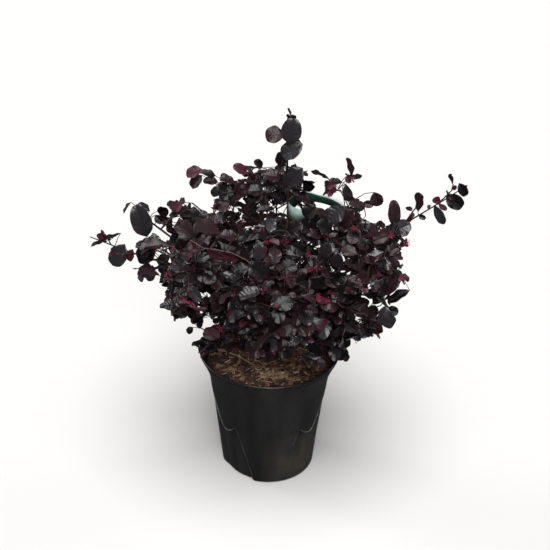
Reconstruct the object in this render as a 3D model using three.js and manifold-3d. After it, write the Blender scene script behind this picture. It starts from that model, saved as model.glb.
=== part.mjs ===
// A purple-leaved fringe flower shrub in a black nursery pot, in millimetres, +Z up.
// The origin is the centre of the pot's flat underside, and the side that the photograph shows faces -Y.
// A short trunk stands on the growing mix and carries bent boughs. Each bough ends where it enters a mass
// of foliage, and each mass is one solid of twigs and leaves that keeps to a space of its own.
import * as THREE from "three";
import { ConvexGeometry } from "three/addons/geometries/ConvexGeometry.js";
import { mergeVertices } from "three/addons/utils/BufferGeometryUtils.js";
import Module from "manifold-3d";

const wasm = await Module();
wasm.setup();

// Driving dimensions of the pot
const POT_HEIGHT = 228;
const LIP_RADIUS = 120;
const FLARE_START = { z: 170, radius: 101 }; // above this the wall curves out to the lip
const FOOT_RADIUS = 77;
const WALL = 2;
const FLUTE_HEIGHT = 98; // the recessed panels at the foot of the wall
const WALL_LEVELS = [78, FLUTE_HEIGHT, FLARE_START.z, 192, 208]; // heights where the wall bends
const FLUTE_DEPTH = 6.5;
const FLUTE_HALF_ANGLE = { foot: 25, top: 15 };
const FLUTE_TURN = 3; // degrees that the pot is turned from square to the view
const FLUTES = 4;
const DRAIN_RADIUS = 7;
const POT_SEGMENTS = 36;

// Driving dimensions of the growing mix and the trunk
const MIX_TOP = 204;
const CLEAR = 0.3; // gap between neighbouring solids
const GRID = 0.001; // corners are rounded to this
const LIMB_SPARE = 0.8; // twigs and leaves keep this far off every limb
const MIX_ROUGHNESS = 3;
const TRUNK_TOP = 318;
const TRUNK_RADIUS = { flare: 17, foot: 10.5, tip: 6 };
const TRUNK_LEAN = [6, -5]; // how far its tip stands from its foot along X and Y
const TRUNK_STEPS = 7;
const TRUNK_SUNK = 4; // its line starts this far down, and the trunk is cut off flat at the mix

// Driving dimensions of the boughs
const BOUGH_STEPS = 4;
const BOUGH_SAMPLES = 60; // points tried along a bough's curve for the place where it enters its mass
const BOUGH_ENTRY = 7; // how far inside its mass's space it stops
const BOUGH_BEND = 0.42; // share of the way out where it bends

// Driving dimensions of the twigs: a mass's stem, and the side twigs that leave it
const STEM = { step: 26, outwards: 0.45, onwards: 0.6, past: 0.8, wander: 0.05, margin: 8, fit: 0.95 };
const TWIG = { step: 30, base: 1.7, tip: 1, rise: 0.14, wander: 0.09, margin: 10, thinner: 0.85 };
const TWIG_TRIES = 20;
const TWIG_PLACES = { first: 0.08, range: 0.8 }; // shares of the stem between which twigs leave it
const TWIG_LENGTH = { loss: 0.3, spread: 0.12 }; // twigs get shorter towards the stem's tip
const TWIG_TURN_SPREAD = 0.3;
const TWIG_OFF_LIMBS = 3.5;
const REACH_PER_TWIG = 17; // a crown mass has one side twig for each of these in its reach
const GOLDEN_TURN = 2.39996;
const GOLDEN_SHARE = 0.618034;
const STEEP = 0.9; // a direction with more than this of Z in it counts as upright

// Driving dimensions of the leaves
const LEAF_KEEL = 0.24; // share of its length where a leaf is thickest
const LEAF_WIDEST = 0.48; // share of its length where it is widest
const LEAF_END = 0.5; // width of its blunt end as a share of the greatest width
const LEAF_ANGLE = 52; // degrees between a leaf and its twig
const LEAF_SPACING = 10;
const LEAF_PLACES = { last: 0.93, end: 0.97 }; // shares of its twig: the last pair and the end leaf
const LEAF_ROLL = { spread: 0.6, wide: 1.2 }; // radians round the twig: the first try, and the last adds
const LEAF_SWING = { spread: 0.2, wide: 0.9 }; // radians off the leaf's angle, in the same way
const LEAF_DROOP = { drop: 0.16, spread: 0.22 };
const LEAF_FACE = { up: 0.55, upSpread: 0.3, out: 0.85, spread: 0.5 };
const LEAF_MARGIN = 0.5;
const LEAF_ATTEMPTS = 30; // turns that are tried before a leaf is left out
const ROOT_DEPTH = 0.6; // its root lies this far past the twig's axis
const ROOT_HOLD = 0.05; // cubic millimetres of its root that sink in its twig
const ROOT_SPARE = 0.3; // more than this in any other twig or leaf is a crossing
const TWIG_SEED = 1200;
const LEAF_SEED = 7400;

// A crown mass is full of leaves. A shoot is a long bare twig with a few smaller leaves at its end.
const CROWN = {
  leaf: { length: 57, width: 40, thickness: 1.6 },
  rise: 0.16, // how much its bough arches, as a share of its length
  boughTip: 2.2,
  pull: -0.12,
  lift: { foot: 68, loss: 24 }, // degrees between the stem and its twigs
  firstLeaf: 0.3,
  mostLeaves: 18, // checked before each twig
};
const SHOOT = {
  leaf: { length: 38, width: 24, thickness: 1.2 },
  rise: 0.1,
  boughTip: 1.7,
  pull: 0.1,
  lift: { foot: 42, loss: 0 },
  firstLeaf: 0.2,
  mostLeaves: 6,
  twigs: 2,
  twigLength: 44,
};

// Each mass: the centre and radius of its space, the limb that carries its bough, how far up that limb the
// bough leaves it, and the bough's radius there. A bow shifts the bough's bend along X.
const CROWN_MASSES = [
  { name: "top", at: [-20, 34, 476], reach: 92, from: "trunk", share: 1, girth: 5 },
  { name: "top_left", at: [-88, -2, 480], reach: 92, from: "top", share: 0.3, girth: 3.6 },
  { name: "top_right", at: [66, 0, 444], reach: 92, from: "top", share: 0.42, girth: 3.4 },
  { name: "left", at: [-162, -12, 406], reach: 86, from: "trunk", share: 0.52, girth: 4.4 },
  { name: "front", at: [4, -124, 388], reach: 96, from: "trunk", share: 0.6, girth: 4.4 },
  { name: "right", at: [168, -6, 406], reach: 88, from: "trunk", share: 0.66, girth: 4.4 },
  { name: "back", at: [5, 136, 424], reach: 98, from: "trunk", share: 0.74, girth: 4.6 },
  { name: "upper_right", at: [122, 8, 476], reach: 80, from: "right", share: 0.4, girth: 3.2 },
  { name: "front_left", at: [-88, -94, 394], reach: 98, from: "front", share: 0.28, girth: 3.4 },
  { name: "front_right", at: [98, -92, 388], reach: 98, from: "front", share: 0.42, girth: 3.4 },
  { name: "back_right", at: [112, 104, 424], reach: 98, from: "back", share: 0.42, girth: 3.4 },
  { name: "back_left", at: [-108, 104, 424], reach: 98, from: "back", share: 0.28, girth: 3.4 },
  { name: "heart", at: [0, -44, 408], reach: 90, from: "trunk", share: 0.78, girth: 3.2 },
  { name: "low_left", at: [-112, -2, 314], reach: 78, from: "trunk", share: 0.2, girth: 3.4 },
  { name: "low_front_left", at: [-60, -80, 308], reach: 72, from: "trunk", share: 0.3, girth: 3 },
  { name: "low_front_right", at: [64, -80, 312], reach: 70, from: "trunk", share: 0.24, girth: 3 },
  { name: "low_right", at: [126, -8, 310], reach: 84, from: "trunk", share: 0.34, girth: 3.4 },
  { name: "low_back", at: [0, 106, 312], reach: 90, from: "trunk", share: 0.26, girth: 3.4 },
];
const SHOOTS = [
  { name: "tall_shoot", at: [16, 0, 594], reach: 62, from: "top_right", share: 0.66, girth: 2.6, bow: 12 },
  { name: "right_shoot", at: [246, 0, 492], reach: 86, from: "right", share: 0.6, girth: 2.6 },
  { name: "left_shoot", at: [-250, -4, 412], reach: 62, from: "left", share: 0.6, girth: 2.6 },
  { name: "upper_left_shoot", at: [-214, 4, 472], reach: 54, from: "left", share: 0.5, girth: 2.4 },
];

// The plant label: a strip closed into a loop round the tall shoot's stem
const LABEL = { at: 494, across: 92, deep: 76, height: 17, thickness: 1, tilt: -7, segments: 20 };

const COLOUR = { pot: 0x1d1f1f, mix: 0x4a3324, bark: 0x5a4636, leaf: 0x2b1f25, label: 0x2f6b55 };

// Small shared tools

const vec = (a) => new THREE.Vector3(...a);
const radians = THREE.MathUtils.degToRad;
const CROWN_HEART = vec([0, 0, MIX_TOP + 110]);
const VIEW_SIDE = vec([0, -1, 0]); // the leaves of the shoots face this way

const MASSES = [
  ...CROWN_MASSES.map((mass) => ({ ...mass, ...CROWN, centre: vec(mass.at) })),
  ...SHOOTS.map((mass) => ({ ...mass, ...SHOOT, centre: vec(mass.at) })),
];

function seeded(seed) {
  let state = seed >>> 0;
  return () => {
    state = (Math.imul(state, 1664525) + 1013904223) >>> 0;
    return state / 4294967296;
  };
}

const spread = (random, amount) => (random() * 2 - 1) * amount;
const shake = (random, amount) => vec([0, 0, 0].map(() => spread(random, amount)));

function solidFrom(geometry) {
  const bare = geometry.index ? geometry.toNonIndexed() : geometry.clone();
  bare.deleteAttribute("normal");
  bare.deleteAttribute("uv");
  const merged = mergeVertices(bare, 1e-4);
  return new wasm.Manifold(
    new wasm.Mesh({
      numProp: 3,
      vertProperties: new Float32Array(merged.attributes.position.array),
      triVerts: new Uint32Array(merged.index.array),
    }),
  );
}

// The one body that is kept: loose scraps and sealed hollows are dropped.
const largest = (solid) => solid.decompose().sort((a, b) => b.volume() - a.volume())[0];

// A solid's surface with its corners rounded to the grid, and without the faces that this closes up.
function geometryFrom(solid) {
  const mesh = solid.getMesh();
  const corners = new Map();
  const positions = [];
  const cornerOf = Array.from({ length: mesh.numVert }, (_, i) => {
    const start = i * mesh.numProp;
    const place = Array.from(mesh.vertProperties.subarray(start, start + 3), (x) => Math.round(x / GRID));
    const key = place.join(" ");
    if (!corners.has(key)) {
      corners.set(key, corners.size);
      positions.push(...place.map((x) => x * GRID));
    }
    return corners.get(key);
  });
  const faces = [];
  for (let i = 0; i < mesh.triVerts.length; i += 3) {
    const face = Array.from(mesh.triVerts.subarray(i, i + 3), (corner) => cornerOf[corner]);
    if (new Set(face).size === 3) faces.push(...face);
  }
  const geometry = new THREE.BufferGeometry();
  geometry.setAttribute("position", new THREE.Float32BufferAttribute(positions, 3));
  geometry.setIndex(faces);
  geometry.computeVertexNormals();
  return geometry;
}

// Whether each edge has one face on either side.
function isClosed(geometry) {
  const index = geometry.index.array;
  const key = (from, to) => from * index.length + to;
  const edges = new Map();
  for (let i = 0; i < index.length; i++) {
    const next = i % 3 === 2 ? i - 2 : i + 1;
    edges.set(key(index[i], index[next]), key(index[next], index[i]));
  }
  return edges.size === index.length && [...edges.values()].every((opposite) => edges.has(opposite));
}

function addNode(group, name, geometry, colour, roughness) {
  const material = new THREE.MeshStandardMaterial({ color: colour, roughness, metalness: 0 });
  const mesh = new THREE.Mesh(geometry, material);
  mesh.name = name;
  group.add(mesh);
}

// A tapering limb along a line of points: a cylinder bent to follow them, with a radius at each.
function limbGeometry(points, radii, sides) {
  const last = points.length - 1;
  const geometry = new THREE.CylinderGeometry(1, 1, 1, sides, last);
  const along = points.map((p, i) =>
    points[Math.min(i + 1, last)].clone().sub(points[Math.max(i - 1, 0)]).normalize(),
  );
  const across = [];
  let reference = Math.abs(along[0].z) > 0.9 ? vec([1, 0, 0]) : vec([0, 0, 1]);
  for (const direction of along) {
    reference = reference.clone().addScaledVector(direction, -reference.dot(direction)).normalize();
    across.push(reference);
  }
  const position = geometry.attributes.position;
  for (let i = 0; i < position.count; i++) {
    const ring = Math.round((position.getY(i) + 0.5) * last);
    const other = across[ring].clone().cross(along[ring]);
    const point = points[ring]
      .clone()
      .addScaledVector(across[ring], position.getX(i) * radii[ring])
      .addScaledVector(other, position.getZ(i) * radii[ring]);
    position.setXYZ(i, point.x, point.y, point.z);
  }
  return geometry;
}

// Pot and growing mix

// How far the wall is pressed in at a height and an angle, for the recessed panels at its foot.
function fluteDepth(z, angle) {
  if (z >= FLUTE_HEIGHT) return 0;
  const pitch = (2 * Math.PI) / FLUTES;
  const turned = angle + radians(45 + FLUTE_TURN);
  const fromCentre = Math.abs(turned - pitch * Math.round(turned / pitch));
  const rise = z / FLUTE_HEIGHT;
  const half = radians(THREE.MathUtils.lerp(FLUTE_HALF_ANGLE.foot, FLUTE_HALF_ANGLE.top, rise));
  const side = THREE.MathUtils.smoothstep(half - fromCentre, 0, radians(9));
  return FLUTE_DEPTH * side * THREE.MathUtils.smoothstep(1 - rise, 0, 0.2);
}

function wallRadius(z) {
  if (z <= FLARE_START.z) {
    return THREE.MathUtils.lerp(FOOT_RADIUS + 4, FLARE_START.radius, z / FLARE_START.z);
  }
  const t = (z - FLARE_START.z) / (POT_HEIGHT - 8 - FLARE_START.z);
  return FLARE_START.radius + (LIP_RADIUS - 2 - FLARE_START.radius) * Math.min(1, t) ** 1.5;
}

// Turns a closed outline of [radius, height] into a ring solid, pressed in at the flutes.
function turned(outline) {
  const geometry = new THREE.LatheGeometry(
    outline.map(([radius, z]) => new THREE.Vector2(radius, z)),
    POT_SEGMENTS,
  );
  geometry.rotateX(Math.PI / 2);
  const position = geometry.attributes.position;
  for (let i = 0; i < position.count; i++) {
    const [x, y, z] = [position.getX(i), position.getY(i), position.getZ(i)];
    const radius = Math.hypot(x, y);
    if (radius < FOOT_RADIUS / 2) continue;
    const scale = (radius - fluteDepth(z, Math.atan2(y, x))) / radius;
    position.setXYZ(i, x * scale, y * scale, z);
  }
  return geometry;
}

function potGeometry() {
  const outer = [6, ...WALL_LEVELS].map((z) => [wallRadius(z), z]);
  const inner = [...WALL_LEVELS].reverse().map((z) => [wallRadius(z) - WALL, z]);
  const outline = [
    [0, 0],
    [FOOT_RADIUS, 0],
    ...outer,
    [LIP_RADIUS - 2.5, POT_HEIGHT - 6],
    [LIP_RADIUS, POT_HEIGHT - 5],
    [LIP_RADIUS - 0.7, POT_HEIGHT],
    [LIP_RADIUS - 4.5, POT_HEIGHT - 1],
    ...inner,
    [wallRadius(6) - WALL - 2, 6],
    [FOOT_RADIUS - 6, WALL],
    [0, WALL],
  ];
  let pot = solidFrom(turned(outline));
  for (let i = 0; i < FLUTES; i++) {
    const angle = (i * 2 * Math.PI) / FLUTES + radians(FLUTE_TURN);
    const hole = new THREE.CylinderGeometry(DRAIN_RADIUS, DRAIN_RADIUS, WALL * 4, 10);
    hole.rotateX(Math.PI / 2);
    hole.translate(Math.cos(angle) * FOOT_RADIUS * 0.6, Math.sin(angle) * FOOT_RADIUS * 0.6, WALL / 2);
    pot = pot.subtract(solidFrom(hole));
  }
  return geometryFrom(pot);
}

function mixGeometry() {
  const mixInset = (z) => WALL + CLEAR + (z > FLUTE_HEIGHT ? 0 : FLUTE_DEPTH / 2);
  const rimOfMix = wallRadius(MIX_TOP) - mixInset(MIX_TOP) - 0.6;
  const outline = [
    [0, WALL + CLEAR],
    [FOOT_RADIUS - 7, WALL + CLEAR],
    ...WALL_LEVELS.filter((z) => z < MIX_TOP - 4).map((z) => [wallRadius(z) - mixInset(z), z]),
    [rimOfMix, MIX_TOP - 2],
    [rimOfMix * 0.7, MIX_TOP],
    [TRUNK_RADIUS.flare * 1.6, MIX_TOP],
    [0, MIX_TOP],
  ];
  const geometry = turned(outline);
  const position = geometry.attributes.position;
  for (let i = 0; i < position.count; i++) {
    const [x, y, z] = [position.getX(i), position.getY(i), position.getZ(i)];
    const radius = Math.hypot(x, y);
    if (z < MIX_TOP - 1 || radius < TRUNK_RADIUS.flare * 2) continue;
    position.setZ(i, z + MIX_ROUGHNESS * (Math.sin(x / 13 + 1.2) * Math.cos(y / 11) - 0.2));
  }
  return geometry;
}

// Trunk and boughs

const taper = (count, base, tip) =>
  Array.from({ length: count }, (_, i) => THREE.MathUtils.lerp(base, tip, i / (count - 1)));

function trunkLine() {
  const points = [];
  const radii = [];
  for (let i = 0; i <= TRUNK_STEPS; i++) {
    const t = i / TRUNK_STEPS;
    const sway = Math.sin(t * Math.PI * 1.4) * 3;
    const height = THREE.MathUtils.lerp(MIX_TOP - TRUNK_SUNK, TRUNK_TOP, t ** 1.25);
    points.push(vec([TRUNK_LEAN[0] * t + sway, TRUNK_LEAN[1] * t - sway, height]));
    const flare = (TRUNK_RADIUS.flare - TRUNK_RADIUS.foot) * Math.max(0, 1 - t * 5) ** 1.6;
    radii.push(THREE.MathUtils.lerp(TRUNK_RADIUS.foot, TRUNK_RADIUS.tip, t) + flare);
  }
  return { points, radii, sides: 10 };
}

// A limb's solid, grown all round and past its tip.
function lineSolid(line, grow) {
  const [before, tip] = line.points.slice(-2);
  const onwards = tip.clone().sub(before).normalize();
  const points = [...line.points.slice(0, -1), tip.clone().addScaledVector(onwards, grow)];
  return solidFrom(limbGeometry(points, line.radii.map((radius) => radius + grow), line.sides));
}

function pointAlong(line, share) {
  const place = share * (line.points.length - 1);
  const i = Math.min(Math.floor(place), line.points.length - 2);
  const t = place - i;
  return {
    point: line.points[i].clone().lerp(line.points[i + 1], t),
    radius: THREE.MathUtils.lerp(line.radii[i], line.radii[i + 1], t),
    direction: line.points[i + 1].clone().sub(line.points[i]).normalize(),
  };
}

// How far a point lies inside a mass's own space, which ends half way to each neighbour and at its reach.
function roomInside(point, mass) {
  let room = mass.reach - point.distanceTo(mass.centre);
  for (const other of MASSES) {
    if (other === mass) continue;
    const gap = other.centre.distanceTo(mass.centre);
    const nearer = point.distanceToSquared(other.centre) - point.distanceToSquared(mass.centre);
    room = Math.min(room, nearer / (2 * gap));
  }
  return room;
}

// A bough rises from its carrier, arches over towards its mass and stops just inside that mass's space.
function boughLine(mass, carrier) {
  const start = pointAlong(carrier, mass.share);
  const reach = mass.centre.clone().sub(start.point);
  const bend = start.point
    .clone()
    .addScaledVector(reach, BOUGH_BEND)
    .add(vec([mass.bow ?? 0, 0, reach.length() * mass.rise]));
  const curve = new THREE.QuadraticBezierCurve3(start.point, bend, mass.centre);
  const last = curve.getPoints(BOUGH_SAMPLES).findIndex((p) => roomInside(p, mass) > BOUGH_ENTRY);
  const points = [];
  for (let i = 0; i <= BOUGH_STEPS; i++) {
    points.push(curve.getPoint((i * last) / (BOUGH_STEPS * BOUGH_SAMPLES)));
  }
  return { points, radii: taper(points.length, mass.girth, mass.boughTip), sides: 5 };
}

// Foliage

// The corners of a leaf of eight faces: its root, the keel's peak, the widest place and a blunt end.
function leafCorners(size) {
  const half = size.width / 2;
  const widest = size.length * LEAF_WIDEST;
  return [
    vec([-ROOT_DEPTH, 0, 0.2]),
    vec([size.length * LEAF_KEEL, 0, size.thickness]),
    vec([widest, half, 0]),
    vec([widest, -half, 0]),
    vec([size.length, half * LEAF_END, 0]),
    vec([size.length, -half * LEAF_END, 0]),
  ];
}

const fitsInSpace = (points, mass, margin) => points.every((p) => roomInside(p, mass) > margin);

// Whether a line of points keeps a distance off every limb.
function clearOfLimbs(points, limbs, spare) {
  const mine = new THREE.Line3();
  const theirs = new THREE.Line3();
  for (const limb of limbs) {
    for (let i = 0; i + 1 < limb.points.length; i++) {
      theirs.set(limb.points[i], limb.points[i + 1]);
      const keep = Math.max(limb.radii[i], limb.radii[i + 1]) + spare;
      for (let k = 0; k + 1 < points.length; k++) {
        mine.set(points[k], points[k + 1]);
        if (mine.distanceSqToLine3(theirs) < keep * keep) return false;
      }
    }
  }
  return true;
}

const clearOfPot = (points) =>
  points.every((p) => p.z > POT_HEIGHT + 3 || Math.hypot(p.x, p.y) > LIP_RADIUS + 4);

// A twig as points a step apart that wander a little and bend towards a pull.
function twigLine(random, start, direction, length, step, pull, wander) {
  const steps = Math.max(2, Math.round(length / step));
  const points = [start.clone()];
  const heading = direction.clone();
  for (let i = 0; i < steps; i++) {
    heading.addScaledVector(pull, 1 / steps).add(shake(random, wander)).normalize();
    points.push(points[i].clone().addScaledVector(heading, length / steps));
  }
  return points;
}

// Where a leaf sits: its blade runs out sideways from the twig and its face turns up and outwards.
function leafMatrix(random, mass, point, direction, side, wide) {
  const flat = Math.abs(direction.z) > STEEP ? vec([1, 0, 0]) : vec([-direction.y, direction.x, 0]);
  const roll = spread(random, LEAF_ROLL.spread + LEAF_ROLL.wide * wide);
  const sideways = flat.normalize().applyAxisAngle(direction, roll);
  const swing = spread(random, LEAF_SWING.spread + LEAF_SWING.wide * wide);
  const angle = (side === 0 ? 0.1 : radians(LEAF_ANGLE)) + swing;
  const along = direction
    .clone()
    .multiplyScalar(Math.cos(angle))
    .addScaledVector(sideways, (side || 1) * Math.sin(angle))
    .add(vec([0, 0, spread(random, LEAF_DROOP.spread) - LEAF_DROOP.drop]))
    .normalize();
  const outwards = mass.twigs ? VIEW_SIDE : point.clone().sub(CROWN_HEART).normalize();
  const face = vec([spread(random, LEAF_FACE.spread), spread(random, LEAF_FACE.spread), LEAF_FACE.up])
    .add(vec([0, 0, spread(random, LEAF_FACE.upSpread)]))
    .addScaledVector(outwards, LEAF_FACE.out)
    .normalize();
  const across = face.cross(along).normalize();
  const normal = along.clone().cross(across);
  return new THREE.Matrix4().makeBasis(along, across, normal).setPosition(point);
}

// The frame of a mass: its main stem, and the twigs that leave it at the golden turn. A twig is cut back
// to what keeps to the mass's space and off every limb, and one that is left too short is skipped.
function growTwigs(mass, bough, limbs) {
  const random = seeded(TWIG_SEED + MASSES.indexOf(mass));
  const end = bough.points.length - 1;
  const direction = bough.points[end].clone().sub(bough.points[end - 1]).normalize();
  const foot = bough.points[end].clone();
  const goal = mass.centre.clone().sub(foot);
  const outwards = mass.centre.clone().sub(CROWN_HEART).normalize();
  const heading = goal
    .clone()
    .normalize()
    .addScaledVector(outwards, STEM.outwards)
    .addScaledVector(direction, STEM.onwards)
    .normalize();
  const length = goal.length() + mass.reach * STEM.past;
  const line = twigLine(random, foot, heading, length, STEM.step, vec([0, 0, mass.pull]), STEM.wander);
  while (line.length > 3 && roomInside(line[line.length - 1], mass) < STEM.margin) line.pop();
  const radii = taper(line.length, bough.radii[end] * STEM.fit, TWIG.tip);
  const stem = { points: line, radii, sides: 4 };
  const twigs = [stem];
  const wanted = mass.twigs ?? Math.round(mass.reach / REACH_PER_TWIG);
  for (let k = 0; k < TWIG_TRIES && twigs.length <= wanted; k++) {
    const share = TWIG_PLACES.first + TWIG_PLACES.range * ((k * GOLDEN_SHARE) % 1);
    const from = pointAlong(stem, share);
    const side = Math.abs(from.direction.z) > STEEP ? vec([1, 0, 0]) : vec([0, 0, 1]);
    const around = side.cross(from.direction).normalize();
    around.applyAxisAngle(from.direction, k * GOLDEN_TURN + spread(random, TWIG_TURN_SPREAD));
    const lift = radians(mass.lift.foot - mass.lift.loss * share);
    const way = from.direction.clone().multiplyScalar(Math.cos(lift));
    way.addScaledVector(around, Math.sin(lift));
    const full = mass.reach * (1 - TWIG_LENGTH.loss * share) * (1 + spread(random, TWIG_LENGTH.spread));
    const reach = mass.twigLength ?? full;
    const points = twigLine(random, from.point, way, reach, TWIG.step, vec([0, 0, TWIG.rise]), TWIG.wander);
    const fits = () => fitsInSpace(points.slice(1), mass, TWIG.margin) && clearOfPot(points);
    while (points.length > 2 && !fits()) points.pop();
    if (!fits() || !clearOfLimbs(points, limbs, TWIG_OFF_LIMBS)) continue;
    const base = Math.min(TWIG.base, from.radius * TWIG.thinner);
    twigs.push({ points, radii: taper(points.length, base, TWIG.tip), sides: 3 });
  }
  return twigs;
}

// What cuts a mass's stem off square, a small gap beyond the end of its bough.
function endTool(bough) {
  const end = bough.points.length - 1;
  const direction = bough.points[end].clone().sub(bough.points[end - 1]).normalize();
  const points = [bough.points[end - 1], bough.points[end].clone().addScaledVector(direction, CLEAR)];
  return solidFrom(limbGeometry(points, points.map(() => bough.radii[end] * 2), bough.sides));
}

// Fuses a mass's twigs and leaves. A leaf is turned until it keeps to the mass's space and off every limb,
// twig and other leaf, and is left out where no turn does.
function massGeometry(mass, bough, limbs, limbSolid) {
  const twigs = growTwigs(mass, bough, limbs);
  const random = seeded(LEAF_SEED + MASSES.indexOf(mass));
  const corners = leafCorners(mass.leaf);
  for (const twig of twigs) twig.wood = solidFrom(limbGeometry(twig.points, twig.radii, twig.sides));
  let solid = twigs.slice(1).reduce((sum, twig) => sum.add(twig.wood), twigs[0].wood);
  let leaves = 0;
  const tryLeaf = (twig, share, side) => {
    const from = pointAlong(twig, share);
    for (let attempt = 0; attempt < LEAF_ATTEMPTS; attempt++) {
      const wide = attempt / LEAF_ATTEMPTS;
      const matrix = leafMatrix(random, mass, from.point, from.direction, attempt % 2 ? -side : side, wide);
      const placed = corners.map((p) => p.clone().applyMatrix4(matrix));
      if (!fitsInSpace(placed, mass, LEAF_MARGIN) || !clearOfPot(placed)) continue;
      const leaf = solidFrom(new ConvexGeometry(placed));
      const root = leaf.intersect(twig.wood).volume();
      if (root < ROOT_HOLD || leaf.intersect(solid).volume() > root + ROOT_SPARE) continue;
      if (leaf.intersect(limbSolid).volume() > 0) continue;
      const fused = solid.add(leaf);
      if (!isClosed(geometryFrom(fused))) continue;
      solid = fused;
      leaves += 1;
      return;
    }
  };
  for (const twig of twigs) {
    if (leaves >= mass.mostLeaves) break;
    const length = (twig === twigs[0] ? STEM.step : TWIG.step) * (twig.points.length - 1);
    const count = Math.max(2, Math.floor((length * (1 - mass.firstLeaf)) / LEAF_SPACING));
    tryLeaf(twig, LEAF_PLACES.end, 0);
    for (let i = count - 1; i >= 0; i--) {
      const share = THREE.MathUtils.lerp(mass.firstLeaf, LEAF_PLACES.last, i / count);
      tryLeaf(twig, share, i % 2 ? 1 : -1);
    }
  }
  return geometryFrom(largest(solid.subtract(endTool(bough))));
}

// Plant label

// The loop hangs against the tall shoot's stem, which passes through it at its -X end.
function labelCentre() {
  const stem = lines.tall_shoot;
  const above = stem.points.findIndex((p) => p.z > LABEL.at);
  const share = (LABEL.at - stem.points[above - 1].z) / (stem.points[above].z - stem.points[above - 1].z);
  const at = pointAlong(stem, (above - 1 + share) / (stem.points.length - 1));
  const lean = (Math.abs(at.direction.x) * LABEL.height) / 2;
  const shift = (LABEL.across - LABEL.thickness) / 2 - at.radius - CLEAR - lean;
  return at.point.add(vec([shift, 0, 0]));
}

function labelLine() {
  const points = [];
  const tilt = radians(LABEL.tilt);
  for (let i = 0; i <= LABEL.segments; i++) {
    const turn = (i * 2 * Math.PI) / LABEL.segments;
    const x = (Math.cos(turn) * LABEL.across) / 2;
    const y = (Math.sin(turn) * LABEL.deep) / 2;
    points.push(vec([x, y, x * Math.tan(tilt)]).add(labelCentre()));
  }
  return { points, radii: points.map(() => LABEL.height / 2 + 1) };
}

function labelGeometry(spare = 0) {
  const outline = (grow) => {
    const path = new THREE.Path();
    path.absellipse(0, 0, LABEL.across / 2 + grow, LABEL.deep / 2 + grow, 0, Math.PI * 2);
    return path.getPoints(LABEL.segments / 2).slice(0, -1);
  };
  const shape = new THREE.Shape(outline(LABEL.thickness / 2 + spare));
  shape.holes.push(new THREE.Path(outline(-LABEL.thickness / 2 - spare)));
  const height = LABEL.height + 2 * spare;
  const geometry = new THREE.ExtrudeGeometry(shape, { depth: height, bevelEnabled: false });
  geometry.translate(0, 0, -height / 2);
  const position = geometry.attributes.position;
  for (let i = 0; i < position.count; i++) {
    position.setZ(i, position.getZ(i) + position.getX(i) * Math.tan(radians(LABEL.tilt)));
  }
  const centre = labelCentre();
  geometry.translate(centre.x, centre.y, centre.z);
  return geometry;
}

// Assembly

const plant = new THREE.Group();
addNode(plant, "pot", potGeometry(), COLOUR.pot, 0.5);
addNode(plant, "growing_mix", mixGeometry(), COLOUR.mix, 0.95);

const lines = { trunk: trunkLine() };
const ground = new THREE.BoxGeometry(4 * TRUNK_RADIUS.flare, 4 * TRUNK_RADIUS.flare, 4 * TRUNK_SUNK);
ground.translate(0, 0, MIX_TOP + CLEAR - 2 * TRUNK_SUNK);
const trunk = lineSolid(lines.trunk, 0).subtract(solidFrom(ground));
addNode(plant, "trunk", geometryFrom(trunk), COLOUR.bark, 0.9);

// Each bough is coped round what carries it, a small gap off.
for (const mass of MASSES) {
  const carrier = lines[mass.from];
  lines[mass.name] = boughLine(mass, carrier);
  const bough = lineSolid(lines[mass.name], 0).subtract(lineSolid(carrier, CLEAR));
  addNode(plant, "bough_" + mass.name, geometryFrom(largest(bough)), COLOUR.bark, 0.9);
}

addNode(plant, "plant_label", labelGeometry(), COLOUR.label, 0.5);

const woody = Object.values(lines);
const limbs = [...woody, labelLine()];
const limbSolid = woody.reduce(
  (sum, line) => sum.add(lineSolid(line, LIMB_SPARE)),
  solidFrom(labelGeometry(LIMB_SPARE)),
);
for (const mass of MASSES) {
  const foliage = massGeometry(mass, lines[mass.name], limbs, limbSolid);
  addNode(plant, "foliage_" + mass.name, foliage, COLOUR.leaf, 0.55);
}

export default plant;
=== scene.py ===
"""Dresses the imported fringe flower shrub: its pot, growing mix, bark, twigs, leaves and blossom.

The plant's rule is the one that its solids were grown by, written again in millimetres and carried on
to finer twigs. Meshes are turned to metres where they are made.
"""

import math
from collections import namedtuple

import bmesh
import bpy
import numpy as np
from mathutils import Matrix, Vector, noise


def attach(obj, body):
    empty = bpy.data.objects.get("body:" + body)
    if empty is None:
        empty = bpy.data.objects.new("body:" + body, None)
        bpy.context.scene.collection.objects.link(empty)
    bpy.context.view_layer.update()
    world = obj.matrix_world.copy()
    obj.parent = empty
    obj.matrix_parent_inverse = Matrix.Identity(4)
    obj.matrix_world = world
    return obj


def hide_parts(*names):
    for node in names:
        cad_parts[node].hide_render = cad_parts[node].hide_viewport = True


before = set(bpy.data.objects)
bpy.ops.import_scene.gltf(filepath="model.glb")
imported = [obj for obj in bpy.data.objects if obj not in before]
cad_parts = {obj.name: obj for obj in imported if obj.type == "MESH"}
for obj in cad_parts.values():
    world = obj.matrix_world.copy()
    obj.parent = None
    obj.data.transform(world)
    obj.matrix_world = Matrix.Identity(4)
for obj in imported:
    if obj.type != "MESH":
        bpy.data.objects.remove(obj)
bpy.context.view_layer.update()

MM = 0.001

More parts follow.
